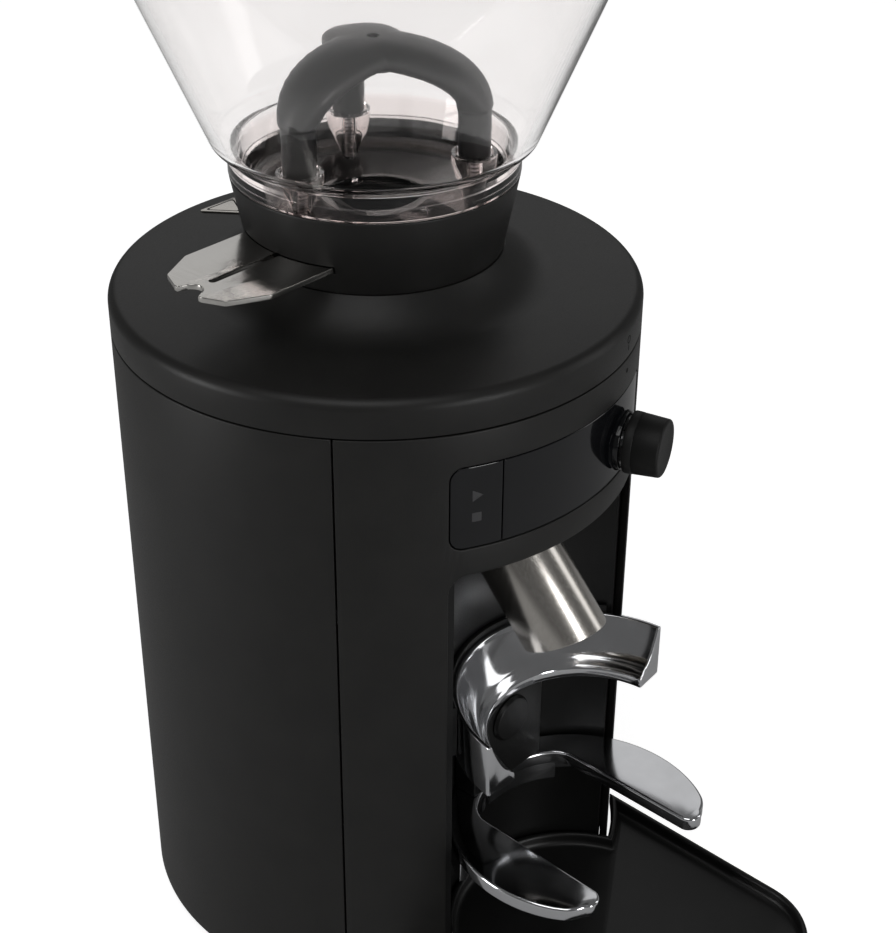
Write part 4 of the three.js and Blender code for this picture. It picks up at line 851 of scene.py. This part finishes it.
SPOUT_R = span("spout_tube")[1].x
SPOUT_TILT = math.radians(42.85)
SPOUT_WALL = 1.5
SPOUT_DIR = Vector((0, -math.sin(SPOUT_TILT), -math.cos(SPOUT_TILT)))
SPOUT_POINT = Vector((0, RECESS_Y + 34.84, OPENING_TOP - 19.5))
SPOUT_END_RISE = math.radians(29)
SPOUT_SIDES = 96
SPOUT_SIDE = Vector((1, 0, 0))
SPOUT_NORMAL = SPOUT_SIDE.cross(SPOUT_DIR)
MOUTH_NORMAL = Vector((0, math.sin(SPOUT_END_RISE), math.cos(SPOUT_END_RISE)))


def spout_point(t):
    return SPOUT_POINT + SPOUT_DIR * t


def ring_offset(radius, k):
    """From the tube's axis to the k-th line on a wall of this radius."""
    angle = 2 * math.pi * k / SPOUT_SIDES
    return SPOUT_SIDE * radius * math.cos(angle) + SPOUT_NORMAL * radius * math.sin(angle)


def cut_t(reach, radius, k):
    """Distance down the tube's axis at which a line on its wall meets the mouth plane."""
    return reach - ring_offset(radius, k).dot(MOUTH_NORMAL) / SPOUT_DIR.dot(MOUTH_NORMAL)


def spout_tube():
    """Tube whose mouth is cut on a slope, with a rounded lip."""
    lip = 0.5
    inner = SPOUT_R - SPOUT_WALL
    start = -(SPOUT_POINT.y + 50.3) / SPOUT_DIR.y + GAP
    # The lowest point of the outer wall on the mouth plane fixes how far down the axis the cut is.
    bottom = min((spout_point(cut_t(0, SPOUT_R, k)) + ring_offset(SPOUT_R, k)).z for k in range(SPOUT_SIDES))
    reach = (bottom - span("spout_tube")[0].z) / math.cos(SPOUT_TILT)
    rings = [(inner, 0.0), (inner, lip), (inner + lip * 0.3, lip * 0.3), (inner + lip, 0.0),
             (SPOUT_R - lip, 0.0), (SPOUT_R - lip * 0.3, lip * 0.3), (SPOUT_R, lip), (SPOUT_R, 0.0)]
    bm = bmesh.new()
    loops = []
    for index, (radius, back) in enumerate(rings):
        loop = []
        for k in range(SPOUT_SIDES):
            ends_inside = index in (0, len(rings) - 1)
            t = start if ends_inside else cut_t(reach, radius, k) - back
            loop.append(bm.verts.new(spout_point(t) + ring_offset(radius, k)))
        loops.append(loop)
    for here, there in zip(loops, loops[1:] + loops[:1]):
        for k in range(SPOUT_SIDES):
            j = (k + 1) % SPOUT_SIDES
            bm.faces.new((here[k], here[j], there[j], there[k]))
    piece("spout_tube_pipe", bm, "spout_tube")


def cradle():
    low, high = span("cradle")
    outer, lip = 49.5, 36.5
    inner = outer - 1.5
    slope = []
    steps = 14
    drop_total = (high.z - low.z) - 4.5 - 2
    for k in range(steps + 1):
        s = k / steps
        slope.append((inner + (lip + 2 - inner) * s, high.z - drop_total * (1 - (1 - s) ** 1.7)))
    profile = [
        *arc(lip + 1, low.z + 1, 1, 180, 270, 4), *arc(outer - 1, low.z + 1, 1, 270, 360, 4),
        *arc(outer - 0.5, high.z - 0.5, 0.5, 0, 90, 3), *slope[:-1],
        (lip + 1.6, low.z + 5.3), (lip + 0.9, low.z + 4.8), (lip + 0.2, low.z + 4.2), (lip, low.z + 3.6),
    ]
    half_turn = 84
    bm = revolve(profile, 112, 180 - half_turn, 2 * half_turn, (0, RECESS_Y))
    piece("cradle_casting", eased(bm, 0.7, 3, 60), "cradle")


def cradle_bracket():
    low, high = span("cradle_bracket")
    profile = rectangle(49.8, RECESS_R - GAP, low.z, high.z, 0.6)
    half_turn = 58
    bm = revolve(profile, 96, 180 - half_turn, 2 * half_turn, (0, RECESS_Y))
    piece("cradle_bracket_moulding", bm, "cradle_bracket")


def fork():
    low, high = span("fork")
    outer, throat_r, thickness = 49.5, 36.8, 6.0
    tip_r, tip_x = 5.0, 31.0
    tip_y = low.y + tip_r
    centre = RECESS_Y + 1.5
    throat_y = RECESS_Y + 4
    half = math.degrees(math.asin(25.5 / throat_r))
    rim = arc(0, centre, outer, -36, 216, 96)
    throat = arc(0, throat_y, throat_r, 90 + half, 90 - half, 60)
    left_tip = arc(-tip_x, tip_y, tip_r, -140, -10, 16)
    right_tip = arc(tip_x, tip_y, tip_r, -170, -40, 16)
    outline = rounded([
        *right_tip, (*rim[0], 12), *rim[3:-3], (*rim[-1], 12), *left_tip,
        (*throat[0], 10), *throat[5:-5], (*throat[-1], 10),
    ])
    top = plate([outline], thickness, 1.1, 4)
    bmesh.ops.translate(top, verts=top.verts, vec=(0, 0, high.z))
    skirts = []
    for radius, y, start, end in ((outer - 0.2, centre, 114, 246), (throat_r + 4.5, throat_y, 140, 188),
                                  (throat_r + 4.5, throat_y, 192, 220)):
        profile = rectangle(radius - 3, radius, low.z, high.z - 1, 0.6, 4)
        skirts.append(eased(revolve(profile, 64, start, end - start, (0, y)), 0.5, 2, 60))
    piece("fork_casting", combined(top, skirts, "UNION"), "fork")


def fork_bracket():
    low, high = span("fork_bracket")
    half = high.x
    rear = RECESS_Y + RECESS_R
    front = low.y
    body = block((-half, front, low.z), (half, rear + 1, high.z))
    keep = column(RECESS_R - 0.5, low.z - 5, high.z + 5, (0, RECESS_Y))
    body = eased(combined(body, [keep], "INTERSECT"), 0.8, 3, 50)
    tongue = block((-5.5, rear - 4, low.z + 4), (5.5, high.y, high.z - 8))
    screw_z = (span("clamp_screw")[0].z + span("clamp_screw")[1].z) / 2
    bore = tube_between((0, front - 2, screw_z), (0, front + 9, screw_z), 3.3, segments=48)
    body = combined(combined(body, [tongue], "UNION"), [bore])
    piece("fork_bracket_moulding", body, "fork_bracket")


def clamp_screw():
    low, high = span("clamp_screw")
    radius = high.x
    z = (low.z + high.z) / 2
    profile = [
        (0, 0), (3, 0), (3, high.y - low.y - 1.9), *arc(radius - 0.4, high.y - low.y - 1.5, 0.4, -90, 0, 4),
        *arc(radius - 1.2, high.y - low.y - 0.6, 0.6, 0, 90, 5), (0, high.y - low.y),
    ]
    bm = revolve(profile, 96)
    bm.transform(Matrix.Translation((0, high.y, z)) @ Matrix.Rotation(math.radians(90), 4, "X"))
    socket = tube_between((0, low.y - 2, z), (0, low.y + 2.6, z), 2.4, segments=6)
    piece("clamp_screw_head", combined(bm, [socket]), "clamp_screw")


# ---------------------------------------------------------------- tray

TRAY_CORNER = 30.0
TRAY_BOW = 1.75


def tray_outline(inset):
    """Tray seen from above, set in by a margin: a round tongue in the recess and a wide front."""
    low, high = span("tray")
    half = high.x - inset
    front = low.y + inset
    corner = TRAY_CORNER - inset
    hug = BODY_R + 1.2 + inset
    tongue_r = RECESS_R - 1.2 - inset
    front_row = [((half - corner) * s / 8, front + TRAY_BOW * (s / 8) ** 2) for s in range(-8, 9)]
    corner_y = front + TRAY_BOW + corner
    meet_y = (tongue_r ** 2 - hug ** 2 - RECESS_Y ** 2) / (-2 * RECESS_Y)
    meet_x = math.sqrt(hug ** 2 - meet_y ** 2)
    meet_body = math.degrees(math.atan2(meet_x, -meet_y))
    meet_tongue = math.degrees(math.atan2(meet_y - RECESS_Y, meet_x))
    edge = math.degrees(math.asin(half / hug))
    return [
        *front_row,
        *arc(half - corner, corner_y, corner, -90, 0, 20)[1:],
        *arc(0, 0, hug, edge - 90, meet_body - 90, 14),
        *arc(0, RECESS_Y, tongue_r, meet_tongue, 180 - meet_tongue, 80)[1:-1],
        *arc(0, 0, hug, -meet_body - 90, -edge - 90, 14),
        *arc(-half + corner, corner_y, corner, 180, 270, 20)[:-1],
    ]


def tray():
    """Pressed pan: a rolled rim and a radius where the wall meets the floor."""
    low, high = span("tray")
    wall, base = 2.5, low.z
    floor = base + 2.5
    top = high.z
    steps = [(1.6, base), (0.6, base + 0.3), (0.1, base + 1.0), (0, base + 2), (0, top - 1.2),
             (0.25, top - 0.5), (0.7, top - 0.1), (1.2, top), (1.8, top - 0.1),
             (2.25, top - 0.5), (wall, top - 1.2),
             (wall, floor + 2.2), (wall + 0.35, floor + 1.1), (wall + 1.1, floor + 0.35), (wall + 2.2, floor)]
    bm = bmesh.new()
    loops = [[bm.verts.new((x, y, z)) for x, y in tray_outline(inset)] for inset, z in steps]
    piece("tray_pan", swept(loops, bm), "tray")


# ---------------------------------------------------------------- controls

LENS_R = BODY_R - 0.2
LENS_CORNER_R = 4.7
DIAL_HOLE_R = 10.9
BUTTON_TRAVEL = 1.2
PRINT_PROUD = 0.03


def button_edge():
    return LENS_R * math.asin(span("start_button")[1].x / LENS_R)


def display_window():
    side = LENS_R * math.asin((OPENING_HALF_W - GAP) / LENS_R)
    left = LENS_R * math.asin(span("display_window")[0].x / LENS_R)
    low, high = WINDOW_Z + GAP, WINDOW_TOP - GAP
    outline = rounded([
        (left, low, 0.5), (side, low, LENS_CORNER_R), (side, high, LENS_CORNER_R), (left, high, 0.5)])
    hole = arc(LENS_R * DIAL_AZ, DIAL_Z, DIAL_HOLE_R, 0, 354, 59)
    lens = wrapped(plate([outline, hole], 2.4, 0.4), LENS_R, straight=LENS_R)
    piece("display_window_lens", lens, "display_window")


def start_button():
    side = LENS_R * math.asin(span("start_button")[0].x / LENS_R)
    right = button_edge()
    low, high = WINDOW_Z + GAP, WINDOW_TOP - GAP
    outline = rounded([
        (side, low, LENS_CORNER_R), (right, low, 0.5), (right, high, 0.5), (side, high, LENS_CORNER_R)])
    cap = wrapped(plate([outline], 1.6, 0.4), LENS_R, straight=LENS_R)
    box_low, box_high = span("start_button")
    stem_x = (box_low.x + box_high.x) / 2 + 2.2
    stem_z = (low + high) / 2
    front = -math.sqrt((LENS_R - 1.6) ** 2 - (abs(stem_x) + 3) ** 2)
    rear = span("start_switch")[0].y - BUTTON_TRAVEL - 0.5
    stem = tube_between((stem_x, rear, stem_z), (stem_x, front - 0.3, stem_z), 3, segments=40)
    piece("start_button_cap", merged(cap, stem), "start_button")
    middle = (side + right) / 2
    arrow = [(middle - 1.6, stem_z + 2.2), (middle + 2.2, stem_z + 4.4), (middle - 1.6, stem_z + 6.6)]
    play = plate([rounded(arrow)], 0.1, 0.01)
    stop = plate([rectangle(middle - 1.7, middle + 1.7, stem_z - 5.6, stem_z - 2.2, 0.3)], 0.1, 0.01)
    marks = raised(wrapped(merged(play, stop), LENS_R, 0.5), PRINT_PROUD)
    piece("start_button_marks", marks, "start_button", material=PRINTED)


def on_dial_axis(profile, segments=128):
    """Turned shape whose height runs outwards along the dial's axis from the body's surface."""
    bm = revolve(profile, segments)
    turn = DIAL_DIR.to_track_quat("Z", "Y").to_matrix().to_4x4()
    place = DIAL_DIR * BODY_R + Vector((0, 0, DIAL_Z))
    bm.transform(Matrix.Translation(place) @ turn)
    return bm


def knob():
    radius = (span("knob")[1].z - span("knob")[0].z) / 2
    base, reach, face = 2.5, 15.5, 10.5
    profile = [
        (3.1, base), (radius - 0.4, base), (radius - 0.1, base + 0.1), (radius, base + 0.4),
        (radius - 0.1, base + 3), (radius - 0.35, base + 3.35), (radius - 0.2, base + 3.7),
        *arc(face - 0.9, reach - 1, 1, 8, 82, 6),
        (face - 1.6, reach), (face - 2.4, reach - 0.12), (0, reach - 0.2),
        (0, reach - 3.7), (3.1, reach - 3.7),
    ]
    piece("knob_cap", on_dial_axis(profile), "knob")


def knob_bezel():
    outer = 10.6
    profile = rounded([
        (3.6, -1.8), (outer, -1.8), (outer, 1.2, 0.5), (outer - 1.6, 1.2, 0.4),
        (outer - 2.2, 0.5, 0.3), (3.6, 0.5),
    ], 4)
    piece("knob_bezel_ring", on_dial_axis(profile), "knob_bezel")


# ---------------------------------------------------------------- rear and underside

def feet():
    for number in (1, 2, 3, 4):
        node = f"foot_{number}"
        low, high = span(node)
        centre = ((low.x + high.x) / 2, (low.y + high.y) / 2)
        radius = (high.x - low.x) / 2
        profile = rounded([(0, low.z), (radius - 1.4, low.z, 0.6), (radius - 0.1, low.z + 2.2, 1.4),
                           (radius - 0.8, high.z, 0.5), (0, high.z)], 5)
        piece(f"{node}_pad", revolve(profile, 64, centre=centre), node)


def base_plate():
    low, high = span("base_plate")
    radius = high.x
    top = low.z + 6
    profile = rounded([(0, low.z), (radius, low.z, 1.5), (radius, top, 0.6), (0, top)], 5)
    bosses = [tube_between((x, y, top - 1), (x, y, high.z), 3.5, segments=32)
              for x in (-30, 30) for y in (48, 74)]
    piece("base_plate_casting", combined(revolve(profile, 192), bosses, "UNION"), "base_plate")


def power_inlet():
    low, high = span("power_inlet")
    shell = eased(block(low, high), 0.8, 3)
    pit = block((low.x + 2.5, high.y - 17, low.z + 2.5), (high.x - 2.5, high.y + 2, high.z - 2.5))
    shell = combined(shell, [eased(pit, 2.0, 4)])
    middle = (low.z + high.z) / 2
    pins = [eased(block((x - 1, high.y - 18, middle + z - 2), (x + 1, high.y - 4, middle + z + 2)), 0.25, 2)
            for x, z in ((-7, -1.5), (0, 2), (7, -1.5))]
    piece("power_inlet_socket", shell, "power_inlet")
    piece("power_inlet_pins", merged(*pins), "power_inlet", material=MATERIALS["machine_steel"])


def switch_housing():
    low, high = span("switch_housing")
    shell = eased(block(low, high), 0.5, 3)
    well = block((low.x + 1.5, high.y - 12, low.z + 1.2), (high.x - 1.5, high.y + 2, high.z - 1.2))
    piece("switch_housing_shell", combined(shell, [well]), "switch_housing")


def power_rocker():
    low, high = span("power_rocker")
    pivot_y = span("switch_housing")[1].y - 6
    pivot_z = (low.z + high.z) / 2
    section = rounded([(5, -4.4, 0.8), (3.6, 0, 6), (5, 4.4, 0.8), (-1.5, 3.6, 0.5), (-4.5, 1.5, 0.5),
                       (-4.5, -1.5, 0.5), (-1.5, -3.6, 0.5)], 5)
    bm = plate([section], high.x - low.x, 0.3)
    # Plate x runs along Y, plate y along Z and plate depth along X.
    bm.transform(Matrix(((0, 0, 1, high.x), (1, 0, 0, pivot_y), (0, 1, 0, pivot_z), (0, 0, 0, 1))))
    piece("power_rocker_cap", bm, "power_rocker")


# ---------------------------------------------------------------- pieces that keep their CAD shape

def dress_frame():
    """Carried-over CAD nodes get their slot's material."""
    for name, obj in frame["nodes"].items():
        material = MATERIALS[SLOT_OF[name]]
        if not obj.material_slots:
            obj.data.materials.append(material)
        for slot in obj.material_slots:
            slot.material = material


# ---------------------------------------------------------------- floor, light and camera

FLOOR_GLOW = 0.82
SKY_LIGHT = 0.13


def seen_directly(tree):
    """1 for camera rays and for rays through the clear hopper, and 0 for light on the object."""
    path = tree.nodes.new("ShaderNodeLightPath")
    either = tree.nodes.new("ShaderNodeMath")
    either.operation = "MAXIMUM"
    tree.links.new(path.outputs["Is Camera Ray"], either.inputs[0])
    tree.links.new(path.outputs["Is Transmission Ray"], either.inputs[1])
    return either.outputs["Value"]


def floor():
    reach = 6.0
    mesh = bpy.data.meshes.new("floor")
    corners = [(-reach, -reach, 0), (reach, -reach, 0), (reach, reach, 0), (-reach, reach, 0)]
    mesh.from_pydata(corners, [], [(0, 1, 2, 3)])
    material = bpy.data.materials.new("pale_floor")
    material.use_nodes = True
    tree = material.node_tree
    shader = tree.nodes["Principled BSDF"]
    shader.inputs["Roughness"].default_value = 0.8
    shader.inputs["Specular IOR Level"].default_value = 0.1
    shader.inputs["Base Color"].default_value = (0.6, 0.6, 0.6, 1)
    glow = tree.nodes.new("ShaderNodeMath")
    glow.operation = "MULTIPLY"
    glow.inputs[1].default_value = FLOOR_GLOW
    tree.links.new(seen_directly(tree), glow.inputs[0])
    tree.links.new(glow.outputs["Value"], shader.inputs["Emission Strength"])
    shader.inputs["Emission Color"].default_value = (1, 1, 1, 1)
    mesh.materials.append(material)
    obj = added("floor", mesh)


def world():
    sky = bpy.data.worlds.new("studio")
    sky.use_nodes = True
    tree = sky.node_tree
    background = tree.nodes["Background"]
    background.inputs["Color"].default_value = (1, 1, 1, 1)
    level = tree.nodes.new("ShaderNodeMapRange")
    level.inputs["To Min"].default_value = SKY_LIGHT
    level.inputs["To Max"].default_value = 1.0
    tree.links.new(seen_directly(tree), level.inputs["Value"])
    tree.links.new(level.outputs["Result"], background.inputs["Strength"])
    bpy.context.scene.world = sky


def lamp(name, azimuth, distance, height, size, watts, aim_height):
    """Rectangular soft box at an azimuth round the body, in metres, aimed at the body's axis."""
    data = bpy.data.lights.new(name, "AREA")
    data.shape = "RECTANGLE"
    data.size, data.size_y = size
    data.energy = watts
    obj = added(name, data)
    place = around(distance, azimuth, height) + Vector((0, AXIS_Y * MM, 0))
    aim = Vector((0, AXIS_Y * MM, aim_height))
    turn = (aim - place).to_track_quat("-Z", "Y").to_matrix().to_4x4()
    obj.matrix_world = Matrix.Translation(place) @ turn


def lights():
    lamp("back_softbox", 135, 1.4, 1.05, (1.7, 0.9), 2.6, 0.27)
    lamp("left_strip", -117, 1.2, 0.32, (0.3, 0.6), 4.8, 0.15)
    lamp("top_softbox", -60, 0.7, 1.5, (0.9, 0.9), 5.6, 0.2)
    lamp("right_strip", 50, 1.2, 0.5, (0.3, 1.0), 1.5, 0.15)
    lamp("front_strip", -5, 1.3, 0.35, (0.25, 0.6), 4.2, 0.12)


CAMERA_PLACE = Vector((-425.97, -379.63, 549.50))
CAMERA_LOOK = Vector((0.6308, 0.5760, -0.5200))
CAMERA_ROLL = math.radians(0.478)
CAMERA_LENS = 71.614


def camera():
    """Camera on the body's left front, looking down: place, look direction, roll and lens."""
    place = CAMERA_PLACE * MM
    forward = CAMERA_LOOK.normalized()
    right = forward.cross(Vector((0, 0, 1))).normalized()
    up = right.cross(forward)
    x = right * math.cos(CAMERA_ROLL) + up * math.sin(CAMERA_ROLL)
    y = up * math.cos(CAMERA_ROLL) - right * math.sin(CAMERA_ROLL)
    data = bpy.data.cameras.new("camera")
    data.lens = CAMERA_LENS
    data.sensor_width = 36
    obj = added("camera", data)
    turn = Matrix((x, y, -forward)).transposed().to_4x4()
    obj.matrix_world = Matrix.Translation(place) @ turn
    bpy.context.scene.camera = obj


dress_frame()
for make in (front_cover, rear_cover, recess_liner, grind_ring, ring_marks, hopper_collar, hopper_slide,
             badge_plate, hopper, guard_arch, hopper_lid, lid_seal, arch_screws, spout_tube, cradle,
             cradle_bracket, fork, fork_bracket, clamp_screw, tray, display_window, start_button, knob,
             knob_bezel, feet, base_plate, power_inlet, switch_housing, power_rocker):
    make()
floor()
world()
lights()
camera()
bpy.context.scene.view_settings.view_transform = "Standard"
